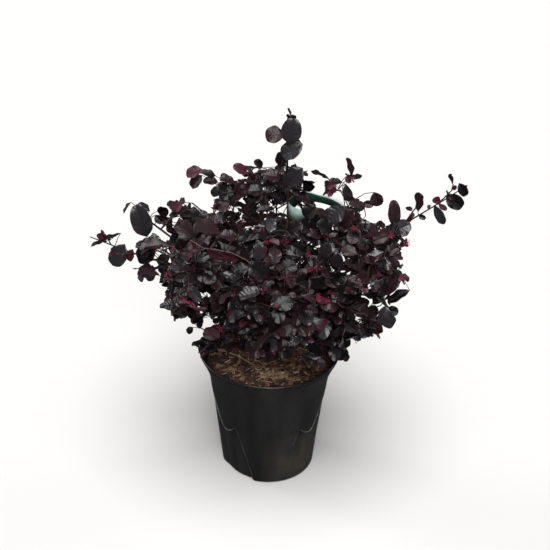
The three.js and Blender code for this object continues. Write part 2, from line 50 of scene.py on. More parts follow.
# Driving sizes of the pot
POT_HEIGHT = 228
LIP_RADIUS = 120
LIP_NECK = [(3.4, 7.2), (2.5, 6.2)]  # the neck under the lip's bead, in from the lip and down from its top
LIP_BEAD = dict(inset=2.4, down=2.9, radius=2.4, turn=(-70, 170), steps=12)
FLARE_START = (170, 101)  # height and radius where the wall starts to curve out
FLARE_END = (POT_HEIGHT - 8, LIP_RADIUS - 2)
FLARE_CURVE = 1.5
FOOT_RADIUS = 77
FOOT_ROUND = dict(out=1, radius=3.5, turn=(-90, -8), steps=6)
WALL_FOOT = FOOT_RADIUS + 4  # the wall's radius, drawn on down to the floor
WALL = 2
WALL_ROWS = [(5, 80, 3), (80, 166, 1.3), (167, POT_HEIGHT - 9, 3)]  # from, to and apart, close at the arches
INNER_WALL_TOP = POT_HEIGHT - 10
INNER_FOOT = FOOT_RADIUS - 7
BASE_RINGS = (20, 50)
POT_SIDES = 288
DRAIN = dict(radius=7, turn=3, place=0.6, sides=32, cut=4)

# The flutes, with places round the pot in degrees from its front or back
QUARTER = 90
FLUTES = 4
FLUTE_DEPTH = 6.5
FLUTE_HEIGHT = 114
FLUTE_EDGE = (15.5, 35)  # the place of a flute's steep side, at the foot and at the top
FLUTE_SIDE = 5  # how wide the steep side is
FLUTE_FADE = (60, 78)  # where a flute gets shallow towards the pot's left or right
FLUTE_SHALLOW = 0.18  # the share of its depth that is left there
FLUTE_FOOT = (5, 70)  # from which height to which a flute that comes out level with the foot gets deep
FLUTE_CLOSE = 6  # the height over which a flute runs out at its top
TONGUE_DROP = 17  # how far the wall hangs down over a flute
TONGUE = (35, 67)  # where it does so
ARCH_RISE = 60  # how much higher a flute is at the pot's left or right, where it meets the next
BEAD = dict(foot=0.3, top=1.15, sunk=0.3, point=0.1, short=3, rise_rows=24, round_rows=70, sides=8)
BEAD_STARTS = (7, 60)  # the height where a bead starts, with a deep foot under it and with a level one
BEAD_SWELLS = (36, 50)
BEAD_THINS = (60, 90)
BEAD_THINNED = 0.5

# Dust starts at a height and at a place left of the pot's middle, and is thickest lower and further right
DUST_FULL = 50
DUST_TOP = 110
DUST_START = -20

# Driving sizes of the growing mix
MIX_TOP = 204
MIX_ROUGHNESS = 3
MIX_WAVES = dict(across=13, along=11, start=1.2, sunk=0.2)
MIX_CRUMBS = [(9, 1.4, 3.1), (3.5, 0.9, 8)]  # their width, their height, and their layer of the noise
MIX = dict(sides=150, rings=44, gap=0.9, fall=2.5, fall_curve=8, side_gap=0.6, flute_gap=2.6, foot_gap=5)
MIX_LEVELS = [185, 150, 122, 112, 106, 100, 94, 88, 70, 40, 8, WALL + 0.4]
MIX_FLUTED = 120  # under this height the mix keeps further off the wall, because of the flutes
MIX_FOOT = 10

# Driving sizes of the trunk and the boughs
TRUNK_TOP = 318
TRUNK_FLARE = 17
TRUNK_FLARE_PARTS = 5  # the flare takes one of so many parts of the trunk
TRUNK_FLARE_CURVE = 1.6
TRUNK_FOOT = 10.5
TRUNK_TIP = 6
TRUNK_LEAN = (6, -5)
TRUNK_SWAY = 3
TRUNK_SWAY_TURNS = 1.4  # half turns
TRUNK_RISE_CURVE = 1.25
TRUNK_STEPS = 7
TRUNK_SUNK = 4
BOUGH_STEPS = 4
BOUGH_SAMPLES = 60
BOUGH_ENTRY = 7
BOUGH_BEND = 0.42
TRUNK_SKIN = dict(steps=56, sides=36, relief=0.9)
BOUGH_SKIN = dict(steps=26, sides=14, relief=0.1)
BARK_PLATES = [(1.6, 0.09, 0, 1), (4, 0.22, 7, 0.55)]  # how many round, how many a mm, noise layer, share

# Driving sizes of the twigs
STEM = dict(step=26, outwards=0.45, onwards=0.6, past=0.8, wander=0.05, margin=8, fit=0.95)
TWIG = dict(step=30, base=1.7, tip=1, rise=0.14, wander=0.09, margin=10, thinner=0.85)
TWIG_TRIES = 20
TWIG_PLACES = (0.08, 0.8)
TWIG_LENGTH_LOSS = 0.3
TWIG_LENGTH_SPREAD = 0.12
TWIG_TURN_SPREAD = 0.3
TWIG_OFF_LIMBS = 3.5
REACH_PER_TWIG = 17
GOLDEN_TURN = 2.39996
GOLDEN_SHARE = 0.618034
STEEP = 0.9
ALMOST_NOTHING = 1e-12
OVER_LIP = 3  # how far twigs and leaves keep over the pot's lip, or else outside it
OFF_LIP = 4
TWIG_SEED = 1200
CROWN_HEART = np.array([0.0, 0.0, MIX_TOP + 110])
VIEW_SIDE = np.array([0.0, -1.0, 0.0])
LEVEL_FACE = 0.5  # how much less a leaf's face turns up than its place in the crown would have it

# A crown mass is full of leaves. A shoot is a long bare twig with a few leaves near its end.
Kind = namedtuple("Kind", "rise bough_tip pull lift lift_loss twigs twig_length")
CROWN = Kind(0.16, 2.2, -0.12, 68, 24, None, None)
SHOOT = Kind(0.1, 1.7, 0.1, 42, 0, 2, 44)

Mass = namedtuple("Mass", "name at reach carrier share girth group bow kind")
CROWN_MASSES = [
    ("top", (-20, 34, 476), 92, "trunk", 1, 5, "top"),
    ("top_left", (-88, -2, 480), 92, "top", 0.3, 3.6, "top"),
    ("top_right", (66, 0, 444), 92, "top", 0.42, 3.4, "top"),
    ("left", (-162, -12, 406), 86, "trunk", 0.52, 4.4, "left"),
    ("front", (4, -124, 388), 96, "trunk", 0.6, 4.4, "front"),
    ("right", (168, -6, 406), 88, "trunk", 0.66, 4.4, "right"),
    ("back", (5, 136, 424), 98, "trunk", 0.74, 4.6, "back"),
    ("upper_right", (122, 8, 476), 80, "right", 0.4, 3.2, "right"),
    ("front_left", (-88, -94, 394), 98, "front", 0.28, 3.4, "front"),
    ("front_right", (98, -92, 388), 98, "front", 0.42, 3.4, "front"),
    ("back_right", (112, 104, 424), 98, "back", 0.42, 3.4, "back"),
    ("back_left", (-108, 104, 424), 98, "back", 0.28, 3.4, "back"),
    ("heart", (0, -44, 408), 90, "trunk", 0.78, 3.2, "front"),
    ("low_left", (-112, -2, 314), 78, "trunk", 0.2, 3.4, "low"),
    ("low_front_left", (-60, -80, 308), 72, "trunk", 0.3, 3, "low"),
    ("low_front_right", (64, -80, 312), 70, "trunk", 0.24, 3, "low"),
    ("low_right", (126, -8, 310), 84, "trunk", 0.34, 3.4, "low"),
    ("low_back", (0, 106, 312), 90, "trunk", 0.26, 3.4, "low"),
]
SHOOTS = [
    ("tall_shoot", (16, 0, 594), 62, "top_right", 0.66, 2.6, "top", 12),
    ("right_shoot", (246, 0, 492), 86, "right", 0.6, 2.6, "right", 0),
    ("left_shoot", (-250, -4, 412), 62, "left", 0.6, 2.6, "left", 0),
    ("upper_left_shoot", (-214, 4, 472), 54, "left", 0.5, 2.4, "left", 0),
]
MASSES = [Mass(*row, 0, CROWN) for row in CROWN_MASSES] + [Mass(*row, SHOOT) for row in SHOOTS]
CENTRES = {mass.name: np.array(mass.at, float) for mass in MASSES}
GROUPS = ("top", "left", "right", "front", "back", "low")

# Driving sizes of what only the dressed plant has: finer twigs, sprays and true leaves
FINE = dict(on_stem=9, on_twig=4, first=0.1, range=0.85, lift=58, length=0.62, step=14, rise=0.1, wander=0.1)
FINE_BASE = 1.1
FINE_END = 0.8  # a finer twig's end, against the base of its sprays
FINE_MARGIN = 3
FINE_OVERLAP = 6  # how far the finer twigs may reach past the half-way line to a neighbour
LIFT_SPREAD = 14
LENGTH_SHARES = (0.75, 0.5)  # the least share of a full length, and how much more there may be
TOP_SHARE = 0.62  # how many finer twigs and sprays the open top has against the rest
TOP_PAINTED_LIGHT = 0.6  # the leaves of the open top are dealt the paler skins more often: painted light on the top of the crown
SPRAY = dict(spacing=17, first=0.2, length=34, step=11, lift=52, rise=0.1, wander=0.1, base=0.8, tip=0.45)
SPRAY_LAST = 0.97
SPRAY_LENGTH_LOSS = 0.35
SPRAY_LENGTH_SHARES = (0.7, 0.6)
SPRAY_MARGIN = 4
SPRAY_ROLL = 0.9
END_SPRAY = 0.5  # the length of the spray at a twig's end, against the rest
TWIG_SIDES = 6
SPRAY_SIDES = 4
STALK_SIDES = 3
NEAR_END = 0.99
AT_END = 0.999
LEAF = dict(length=35, width=0.64, spacing=10.5, angle=52, petiole=3.5, overlap=12)
LEAF_LIE = dict(roll=0.7, end_angle=0.1, angle_spread=0.25, rise_spread=0.24, droop=0.16)
LEAF_FACE = dict(lean=0.8, up=0.5, up_spread=0.35, outwards=0.8)
LEAF_LENGTH_SPREAD = 0.2
LEAF_WIDTH_SPREAD = 0.14
LEAF_FOLD = (16, 15)  # degrees, and their spread
LEAF_BEND = (0.5, 0.45)
LEAF_TWIST = 0.45
LEAF_TESTS = (0.35, 0.7, 1)  # where along a blade it is tested for room
LEAF_TEST_SIDE = 0.4
MAUVE_SHARE = 0.4  # of the lower skins
STALK = dict(base=0.5, tip=0.42, into=0.4)
FIRST_LEAF = 0.8  # how far up a spray its first leaf stands, in leaves
LAST_LEAF = 0.94
LEAF_SIZES = (1.15, 0.42)  # the size at a spray's base, and how much less there is at its tip
LOW_LEAF = 0.84  # the size of the leaves at the bottom of the crown, against the rest
YOUNG_LEAF = 0.36  # the size of the leaves at a spray's tip, against the rest
YOUNG_SPREAD = 0.4
YOUNG_SHARE = 0.18  # how many of them are still red
SPRAY_SEED = 5200

# Driving sizes of the leaves on the bare shoots
SHOOT_LEAF = dict(spacing=26, first=0.3, range=0.6, tip=0.25, young=0.3)
SHOOT_LEAF_SIZES = (0.3, 0.25)
SHOOT_NODES = 20

# Driving sizes of the blossom
BLOSSOM_SHARE = 0.022  # of the places along the sprays
BLOSSOM_SEEDS = 1000000
BLOSSOM_RISE = 0.5
PETALS = (6, 11)
PETAL_LENGTH = 7
PETAL_SHARES = (0.6, 0.6)
PETAL = dict(step=2.6, rise=-0.5, wander=0.3, base=0.65, tip=0.4, sides=4, flat=0.4)
PETAL_LIFT = 0.3
PETAL_SCATTER = 1.2
WINE_SHARE = 0.4
TUFT_STALK = dict(length=5, base=0.5, tip=0.7, sides=4)
SEEN_TUFTS = dict(count=4, near=4, forwards=1.5)  # near in pixels

# Driving sizes of the leaves and twigs that stand out in the photograph
SHOW_LEAF = dict(width=1.12, length=1.04, fold=16, fold_spread=8, bend=0.36, bend_spread=0.2, twist=0.2)
SHOW_LEAF_NEARER = 6  # how much nearer the tip is than the base
SHOW_OWN = (0.8, 0.5)  # the most of such a leaf's own number, and how much less it may be
SHOW_STALK = [0.8, 0.65, 0.5]
SHOW_STALK_ARCH = 0.12
SHOW_STALK_INTO = 0.5
SHOW_STALK_SIDES = 5
SHOW_TWIG = dict(base=1, tip=0.55, sides=6)

# Driving sizes of what lies on the growing mix
CHIPS = dict(seed=31, count=760, reach=103, least=1.4, more=4.6, few_large=2.2, rough=0.25, lean=0.6, up=0.2)
CHIP_SIDES = [(1, 1), (0.6, 0.5), (0.3, 0.3)]  # length, width and thickness: the least, and how much more
STRAW = dict(seed=47, count=720, reach=98, limit=100, up=1.2, lean=0.35)
SHRED = dict(length=(4, 12), few_long=1.6, step=3, rise=-0.1, wander=0.16)
SHRED_THICK = (0.4, 0.8)
SHRED_TIP = 0.7  # against its base
SHRED_FLAT = 0.35
SHRED_SIDES = 4
STRAW_HEAP = dict(count=480, across=24, along=15, height=9, up=1)
LOOSE_STRAW_LONGER = 1.25
WITHERED = dict(seed=59, count=22, reach=92, up=2.5, length=(9, 12), width=0.55, rise=0.3, lean=0.5)
WITHERED_FOLD = (20, 30)
WITHERED_BEND = (0.9, 0.7)
DEAD_TWIG = dict(up=7, wave=3, wave_turn=1.4, base=1.7, tip=1, sides=7)
DEAD_BRANCH = dict(length=(12, 12), step=5, rise=-0.4, wander=0.2, base=0.8, tip=0.4, sides=5)
DEAD_BRANCH_WAY = dict(forwards=0.6, upwards=0.35, scatter=0.3)
DEAD_BITS = dict(length=(14, 22), step=6, rise=-0.3, wander=0.15, base=0.9, tip=0.5, sides=5)
DEAD_PLACES = dict(seed=67, count=22, reach=92, up=2, upwards=0.25)

# The label strip, closed into a loop round the tall shoot's stem
LABEL = dict(at=494, across=92, deep=76, height=17, thickness=1, tilt=-7, segments=20, off_stem=0.3)
LABEL_POINTS = 96
LABEL_END = dict(start=0.3, taller=0.45, drop=9, inwards=4)  # its left end is taller and hangs lower
LABEL_MARGIN = dict(width=0.6, start=-0.5, full=0.3, step=0.05)  # the white margin over its green inside

# The camera, from the photograph's view of the pot
PHOTO = 550
PHOTO_FOCAL = 1091.2  # pixels
CAMERA_AIM = Vector((0.0061, 0, 0.3696))
CAMERA_DISTANCE = 1.8
CAMERA_DOWN = math.radians(28.8)
CAMERA_ROLL = math.radians(1.4)
SENSOR = 36

# The studio
FLOOR = dict(sides=96, radius=40, down=0.0004)
STUDIO_GLOW = 0.055  # what the walls of the studio give as light
BACKDROP_GLOW = 0.92  # how bright the pale backdrop looks past the floor
SOFTBOXES = [
    ("overhead_softbox", (0, -0.3, 1), 48, 3.6),
    ("front_softbox", (0.05, -1, 0.7), 20, 0.95),
    ("left_softbox", (-1, 0.45, 0.55), 16, 0.5),
    ("right_softbox", (1, 0.5, 0.6), 16, 0.25),
]

# Places in the photograph where litter lies on the growing mix
STRAW_HEAP_PIXEL = (273, 375)
DEAD_TWIG_PIXELS = [(214, 352), (226, 356), (238, 360), (252, 366)]
FALLEN_LEAF_PIXELS = [(246, 378), (304, 377), (258, 374), (296, 371)]

# Where the photograph shows sky, or the growing mix, through the crown's reach: a pixel and a radius. The
# smaller ones are gaps between leaves that a twig may cross.
GAP_RADIUS = 5
OPEN = [
    ((170, 182), 17), ((197, 198), 10), ((216, 157), 9), ((256, 157), 6), ((322, 158), 14), ((318, 176), 8),
    ((339, 171), 8), ((322, 200), 8), ((366, 190), 11), ((388, 196), 13), ((386, 213), 8), ((372, 216), 6),
    ((362, 214), 4), ((420, 258), 16), ((415, 300), 8), ((368, 353), 14), ((405, 338), 16), ((178, 338), 13),
    ((150, 292), 14), ((164, 234), 7), ((140, 225), 12), ((203, 293), 3), ((344, 256), 3), ((331, 226), 3),
    ((248, 372), 13), ((272, 373), 15), ((298, 371), 13), ((298, 213), 6), ((338, 202), 6), ((151, 260), 5),
    ((165, 251), 5), ((166, 266), 4), ((115, 194), 6), ((124, 193), 7), ((133, 195), 4), ((88, 237), 5),
    ((286, 114), 4), ((304, 118), 8), ((364, 301), 6), ((398, 293), 6), ((384, 305), 4), ((370, 287), 3),
    ((360, 325), 3), ((230, 358), 8), ((240, 361), 7), ((220, 352), 5), ((380, 178), 9), ((307, 375), 8),
    ((254, 180), 2), ((270, 189), 3), ((236, 180), 2), ((208, 178), 2), ((222, 222), 2), ((235, 210), 3),
    ((252, 226), 3), ((279, 209), 3), ((293, 204), 3), ((341, 190), 5), ((344, 199), 3), ((244, 199), 2),
    ((226, 232), 2), ((380, 208), 6), ((410, 271), 6), ((354, 349), 6), ((205, 324), 6), ((197, 336), 6),
    ((188, 322), 5), ((272, 162), 6), ((290, 166), 5), ((318, 196), 5), ((311, 190), 4),
    ((213, 196), 2), ((262, 197), 2), ((215, 214), 2), ((286, 204), 2), ((162, 311), 6), ((259, 164), 4),
    ((205, 190), 6), ((206, 199), 6), ((165, 327), 6), ((161, 322), 6),
]
WIDE_OPEN = [place for place in OPEN if place[1] > GAP_RADIUS]

# Where the photograph shows tufts of blossom
BLOSSOM_PIXELS = [
    (240, 230), (248, 234), (262, 238), (280, 242), (307, 247), (326, 241), (167, 273), (186, 304),
    (222, 325), (258, 282), (285, 277), (310, 272), (319, 302), (334, 300), (331, 320), (298, 333),
    (273, 349), (238, 347), (355, 219), (379, 233), (349, 180), (329, 185), (357, 207), (386, 236),
    (401, 249), (405, 288), (153, 218),
]

# The leaves that stand out in the photograph: the pixels of a blade's base and tip, its width in pixels,
# how many degrees it is turned from facing the camera, its place towards the back, and its skin
# The slate skin is a paler grey: partly the leaves' own tone, partly painted sheen on leaves that catch the
# light.
BLACK, PLUM, BROWN, SLATE_AND_SHEEN, YOUNG = range(5)
SHOW_TILT = np.array([0.0, 0.0, 0.22])
SHOW_LEAVES = [
    # the tall shoot
    ((284, 134), (266, 135), 16, 10, 0, PLUM),
    ((289, 144), (293, 121), 18, 0, -8, SLATE_AND_SHEEN),
    ((303, 144), (281, 154), 17, 10, -6, SLATE_AND_SHEEN),
    ((288, 152), (277, 164), 12, 15, 0, BLACK),
    ((291, 122), (295, 116), 4, 30, 0, BLACK),
    ((290, 120), (287, 115), 4, 20, 0, PLUM),
    ((291, 117), (288, 109), 3, 60, 0, BLACK),
    ((303, 168), (285, 186), 18, 0, -6, SLATE_AND_SHEEN),
    ((302, 188), (284, 190), 14, 70, 0, PLUM),
    # round the label
    ((330, 180), (313, 170), 5, 65, 0, BLACK),
    ((352, 177), (349, 159), 6, 35, 0, PLUM),
    ((346, 184), (349, 203), 8, 25, -10, SLATE_AND_SHEEN),
    ((346, 176), (350, 183), 5, 20, 0, YOUNG),
    ((324, 186), (336, 184), 7, 10, 0, YOUNG),
    ((374, 192), (379, 206), 11, 15, 0, PLUM),
    ((363, 203), (373, 205), 6, 30, 0, BROWN),
    ((353, 206), (364, 208), 6, 40, 0, SLATE_AND_SHEEN),
    ((303, 181), (314, 188), 7, 60, 0, BLACK),
    ((344, 206), (328, 221), 16, 0, -48, SLATE_AND_SHEEN),
    ((313, 208), (325, 222), 13, 0, -50, BROWN),
    ((354, 209), (341, 226), 14, 10, -44, PLUM),
    ((308, 212), (318, 229), 14, 20, -56, BLACK),
    ((332, 233), (319, 223), 14, 20, -60, BLACK),
    ((316, 206), (304, 216), 13, 10, -58, BLACK),
    ((287, 231), (301, 225), 12, 10, -70, BLACK),
    ((313, 230), (299, 222), 11, 10, -62, BLACK),
    # the left shoots
    ((121, 233), (91, 245), 6, 60, -4, BLACK),
    ((125, 244), (112, 266), 16, 0, -6, SLATE_AND_SHEEN),
    ((147, 237), (137, 208), 18, 0, -18, SLATE_AND_SHEEN),
    ((131, 202), (123, 213), 4, 60, 0, BLACK),
    ((150, 211), (140, 203), 6, 30, 0, SLATE_AND_SHEEN),
    ((157, 211), (168, 211), 7, 50, 0, BLACK),
    ((155, 215), (162, 223), 7, 20, 0, BLACK),
    ((160, 219), (168, 220), 8, 20, 0, PLUM),
    ((159, 236), (147, 242), 9, 20, 0, BLACK),
    ((133, 249), (128, 261), 8, 10, -4, YOUNG),
    ((156, 249), (136, 258), 18, 0, -8, BLACK),
    ((149, 263), (145, 279), 15, 0, -8, SLATE_AND_SHEEN),
    ((170, 256), (157, 263), 10, 10, -4, BLACK),
    ((177, 259), (178, 234), 15, 0, -30, BLACK),
    ((169, 262), (160, 273), 9, 20, -10, PLUM),
    # the right shoot
    ((394, 226), (395, 203), 11, 10, 0, BROWN),
    ((391, 233), (409, 224), 15, 0, -4, SLATE_AND_SHEEN),
    ((408, 222), (411, 217), 4, 10, 0, YOUNG),
    ((418, 212), (418, 194), 8, 50, 0, PLUM),
    ((434, 205), (445, 226), 8, 15, 0, SLATE_AND_SHEEN),
    ((446, 195), (462, 207), 12, 25, -4, BLACK),
    ((453, 185), (449, 176), 6, 55, 0, BLACK),
    ((459, 183), (466, 196), 8, 20, 0, BLACK),
    # the upper left
    ((202, 169), (186, 174), 11, 10, 0, YOUNG),
    ((202, 175), (191, 187), 11, 10, 0, PLUM),
    ((182, 202), (175, 211), 8, 30, 0, YOUNG),
    ((191, 221), (182, 208), 11, 10, 0, BROWN),
    ((247, 173), (235, 165), 9, 10, 0, YOUNG),
    ((216, 176), (201, 171), 7, 20, -6, BLACK),
    ((218, 182), (204, 180), 8, 10, -6, PLUM),
    ((222, 188), (211, 194), 9, 10, -10, BLACK),
    ((262, 168), (256, 161), 8, 20, 0, BLACK),
    ((235, 183), (222, 176), 8, 20, -10, PLUM),
    ((229, 190), (219, 184), 8, 20, -14, BLACK),
    ((233, 191), (219, 195), 12, 10, -16, BLACK),
    ((262, 191), (249, 190), 12, 15, -16, BLACK),
    ((282, 178), (265, 173), 13, 15, -6, PLUM),
    ((230, 204), (218, 208), 11, 10, -24, BROWN),
    # the front and the right side
    ((207, 250), (222, 258), 5, 55, -126, YOUNG),
    ((220, 253), (237, 261), 6, 50, -126, YOUNG),
    ((195, 249), (187, 260), 4, 50, -126, YOUNG),
    ((223, 262), (197, 272), 17, 10, -126, BLACK),
    ((218, 241), (238, 248), 13, 10, -100, BLACK),
    ((236, 238), (222, 234), 11, 20, -96, PLUM),
    ((291, 245), (306, 253), 12, 10, -110, BLACK),
    ((217, 291), (233, 297), 12, 20, -120, BLACK),
    ((250, 268), (228, 271), 13, 10, -124, BLACK),
    ((227, 299), (211, 309), 13, 20, -134, BROWN),
    ((187, 264), (180, 240), 12, 10, -70, BLACK),
    ((284, 300), (302, 292), 12, 15, -140, BLACK),
    ((270, 308), (262, 326), 13, 10, -140, BLACK),
    ((236, 330), (222, 341), 11, 20, -120, BROWN),
    ((336, 271), (338, 255), 11, 10, -96, SLATE_AND_SHEEN),
    ((201, 249), (184, 271), 11, 20, -110, SLATE_AND_SHEEN),
    ((230, 299), (244, 322), 17, 0, -150, SLATE_AND_SHEEN),
    ((258, 262), (259, 246), 10, 0, -150, SLATE_AND_SHEEN),
    ((271, 278), (252, 266), 19, 15, -150, BLACK),
    ((323, 258), (328, 244), 11, 0, -110, SLATE_AND_SHEEN),
    ((309, 278), (325, 293), 16, 10, -140, BLACK),
    ((332, 322), (314, 333), 18, 0, -120, SLATE_AND_SHEEN),
    ((349, 317), (335, 336), 14, 0, -100, SLATE_AND_SHEEN),
    ((310, 340), (320, 356), 9, 40, -100, BLACK),
    ((401, 281), (374, 291), 17, 10, -30, SLATE_AND_SHEEN),
    ((410, 290), (388, 302), 9, 30, -20, BLACK),
    ((386, 310), (398, 312), 9, 10, -20, BLACK),
    ((379, 313), (395, 326), 13, 10, -30, SLATE_AND_SHEEN),
    ((373, 328), (357, 331), 14, 0, -40, SLATE_AND_SHEEN),
    ((374, 319), (379, 335), 10, 20, -36, PLUM),
    ((342, 346), (345, 357), 8, 20, -60, BLACK),
    ((356, 299), (369, 304), 7, 20, -40, PLUM),
    ((385, 298), (373, 302), 6, 20, -30, YOUNG),
    ((338, 350), (341, 361), 6, 30, -60, BLACK),
    # the low left
    ((171, 304), (160, 307), 6, 20, -50, BLACK),
    ((184, 308), (173, 317), 9, 10, -60, BLACK),
    ((204, 315), (190, 321), 9, 10, -60, BLACK),
    ((222, 336), (211, 348), 11, 20, -96, BLACK),
    ((234, 338), (225, 351), 10, 30, -100, PLUM),
    ((245, 338), (240, 350), 9, 20, -104, BLACK),
    ((193, 327), (187, 333), 6, 10, -60, BLACK),
    ((207, 337), (199, 343), 5, 30, -60, BLACK),
    ((210, 352), (201, 342), 8, 20, -66, BLACK),
    ((206, 343), (192, 344), 5, 40, -60, BLACK),
    ((203, 318), (197, 328), 6, 20, -60, BLACK),
]

# Twigs that stand out in the photograph: their pixels from the base on, and their place towards the back
SHOW_TWIGS = [
    ([(251, 264), (246, 260), (232, 253), (218, 250), (203, 248), (190, 240)], -122),
    ([(274, 302), (269, 292), (263, 281)], -132),
]

# Small shared tools


def seeded(seed):
    """Draws from 0 to 1 that come out the same on every run."""
    state = seed

    def draw():
        nonlocal state
        state = (state * 1664525 + 1013904223) % 4294967296
        return state / 4294967296

    return draw


def spread(draw, amount):
    return (draw() * 2 - 1) * amount


def about(draw, middle, amount):
    return middle + spread(draw, amount)


def at_least(draw, least, more):
    return least + more * draw()


def shake(draw, amount):
    return np.array([spread(draw, amount) for _ in range(3)])


def vec(*values):
    return np.array(values, float)


def unit(v):
    return v / math.sqrt(v @ v)


def turned(v, axis, angle):
    """v turned about a unit axis."""
    along = axis * (axis @ v) * (1 - math.cos(angle))
    return v * math.cos(angle) + np.cross(axis, v) * math.sin(angle) + along


def round_axis(radius, angle):
    return radius * math.cos(angle), radius * math.sin(angle)


def level_or_upright(along):
    """An axis that isn't in line with a direction."""
    return vec(1, 0, 0) if abs(along[2]) > STEEP else vec(0, 0, 1)


def smoothstep(x, low, high):
    t = min(1.0, max(0.0, (x - low) / (high - low)))
    return t * t * (3 - 2 * t)


def nearest(places, point):
    return int(np.argmin(((places - point) ** 2).sum(1)))


def line_length(points):
    return sum(math.dist(a, b) for a, b in zip(points[:-1], points[1:]))


def linear(hex_colour):
    """An sRGB hex colour as linear red, green, blue and alpha."""
    parts = [int(hex_colour[i : i + 2], 16) / 255 for i in (1, 3, 5)]
    return tuple(p / 12.92 if p <= 0.04045 else ((p + 0.055) / 1.055) ** 2.4 for p in parts) + (1.0,)


def add_object(name, data):
    added = bpy.data.objects.new(name, data)
    bpy.context.scene.collection.objects.link(added)
    return added


def piece_from(name, vertices, faces, materials, face_slots=None, smooth=True):
    """A mesh object from points in millimetres."""
    mesh = bpy.data.meshes.new(name)
    mesh.from_pydata(np.asarray(vertices, float) * MM, [], faces)
    for material in materials:
        mesh.materials.append(material)
    if face_slots is not None:
        mesh.polygons.foreach_set("material_index", np.asarray(face_slots, np.int32))
    mesh.polygons.foreach_set("use_smooth", np.full(len(mesh.polygons), smooth))
    mesh.update()
    return add_object(name, mesh)


def settle(piece, slot, *nodes):
    """Rides the piece on the plant's one body, and hides the nodes that it stands for. Its slot is not used.
    """
    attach(piece, "root")
    if nodes:
        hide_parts(*nodes)


def ring_faces(rings, sides, first=0):
    """The faces between rings of points that follow one another."""
    faces = []
    for start in range(first, first + (rings - 1) * sides, sides):
        for k in range(sides):
            a, b = start + k, start + (k + 1) % sides
            faces.append((a, b, b + sides, a + sides))
    return faces


def shell_faces(rings, sides):
    """The faces of rings of points that follow one another, closed at both ends."""
    ends = [tuple(range(sides - 1, -1, -1)), tuple((rings - 1) * sides + k for k in range(sides))]
    return ring_faces(rings, sides) + ends


class Bundle:
    """Points and faces that are gathered from many small shapes into one mesh."""

    def __init__(self):
        self.points = []
        self.faces = []
        self.slots = []
        self.count = 0

    def add(self, points, faces, slot=0):
        self.points.append(points)
        self.faces.extend([tuple(i + self.count for i in face) for face in faces])
        self.slots.extend([slot] * len(faces))
        self.count += len(points)

    def add_stick(self, line, stick, slot=0):
        """A tube that tapers from the stick's base to its tip."""
        radii = taper(len(line), stick["base"], stick["tip"])
        self.add(*tube(line, radii, stick["sides"], stick.get("flat", 1)), slot)

    def piece(self, name, materials, smooth=True):
        return piece_from(name, np.concatenate(self.points), self.faces, materials, self.slots, smooth)


def tube(points, radii, sides, flat=1.0, relief=None):
    """A closed tube along points. relief moves each point of the skin out by its turn and its place."""
    points = np.asarray(points, float)
    last = len(points) - 1
    vertices = []
    reference = None
    for i, point in enumerate(points):
        along = unit(points[min(i + 1, last)] - points[max(i - 1, 0)])
        if reference is None:
            reference = level_or_upright(along)
        reference = unit(reference - along * (reference @ along))
        other = np.cross(reference, along)
        for k in range(sides):
            turn = 2 * math.pi * k / sides
            radius = radii[i] + (relief(turn, point) if relief else 0)
            vertices.append(point + (reference * math.cos(turn) * flat + other * math.sin(turn)) * radius)
    return np.array(vertices), shell_faces(len(points), sides)


# The photograph's view


def camera_axes():
    back = Vector((0, -math.cos(CAMERA_DOWN), math.sin(CAMERA_DOWN)))
    right = Vector((1, 0, 0))
    up = Vector((0, math.sin(CAMERA_DOWN), math.cos(CAMERA_DOWN)))
    turn = Matrix.Rotation(CAMERA_ROLL, 3, back)
    return turn @ right, turn @ up, back


RIGHT, UP, BACK = [np.array(axis) for axis in camera_axes()]
EYE = np.array(CAMERA_AIM) / MM + BACK * CAMERA_DISTANCE / MM


def shown_at(points):
    """The pixels of the photograph that show some points in millimetres, and their depths."""
    away = np.atleast_2d(points) - EYE
    depth = -(away @ BACK)
    pixels = np.stack([away @ RIGHT, -(away @ UP)], 1) * PHOTO_FOCAL / depth[:, None] + PHOTO / 2
    return pixels, depth


def sight_line(pixel):
    """The way from the camera to what a pixel of the photograph shows, one millimetre deep."""
    across, down = (pixel[0] - PHOTO / 2) / PHOTO_FOCAL, (pixel[1] - PHOTO / 2) / PHOTO_FOCAL
    return RIGHT * across - UP * down - BACK


def place_on(pixel, axis, level):
    """The place that a pixel of the photograph shows on the plane at a level of one axis."""
    line = sight_line(pixel)
    return EYE + line * (level - EYE[axis]) / line[axis]


def in_the_open(points, places=OPEN):
    pixels = shown_at(points)[0]
    return any((np.hypot(*(pixels - np.array(place)).T) < radius).any() for place, radius in places)


def leaves_the_crown(points):
    """Whether a twig runs out where the photograph shows more than a gap between leaves."""
    return in_the_open(points, WIDE_OPEN)


# Materials


def add_node(tree, kind, inputs=(), **settings):
    """A shader node with its settings, and its inputs as values or as other nodes' outputs."""
    node = tree.nodes.new(kind)
    for name, value in settings.items():
        setattr(node, name, value)
    for name, value in dict(inputs).items():
        if isinstance(value, bpy.types.NodeSocket):
            tree.links.new(value, node.inputs[name])
        else:
            node.inputs[name].default_value = value
    return node


def surface(name, roughness, ior=1.5, colour=None, **inputs):
    """A bare material, its node tree and its principled shader."""
    material = bpy.data.materials.new(name)
    material.use_nodes = True
    tree = material.node_tree
    shader = tree.nodes["Principled BSDF"]
    shader.inputs["Roughness"].default_value = roughness
    shader.inputs["IOR"].default_value = ior
    if colour:
        shader.inputs["Base Color"].default_value = linear(colour)
    for key, value in inputs.items():
        shader.inputs[key.replace("_", " ")].default_value = value
    return material, tree, shader


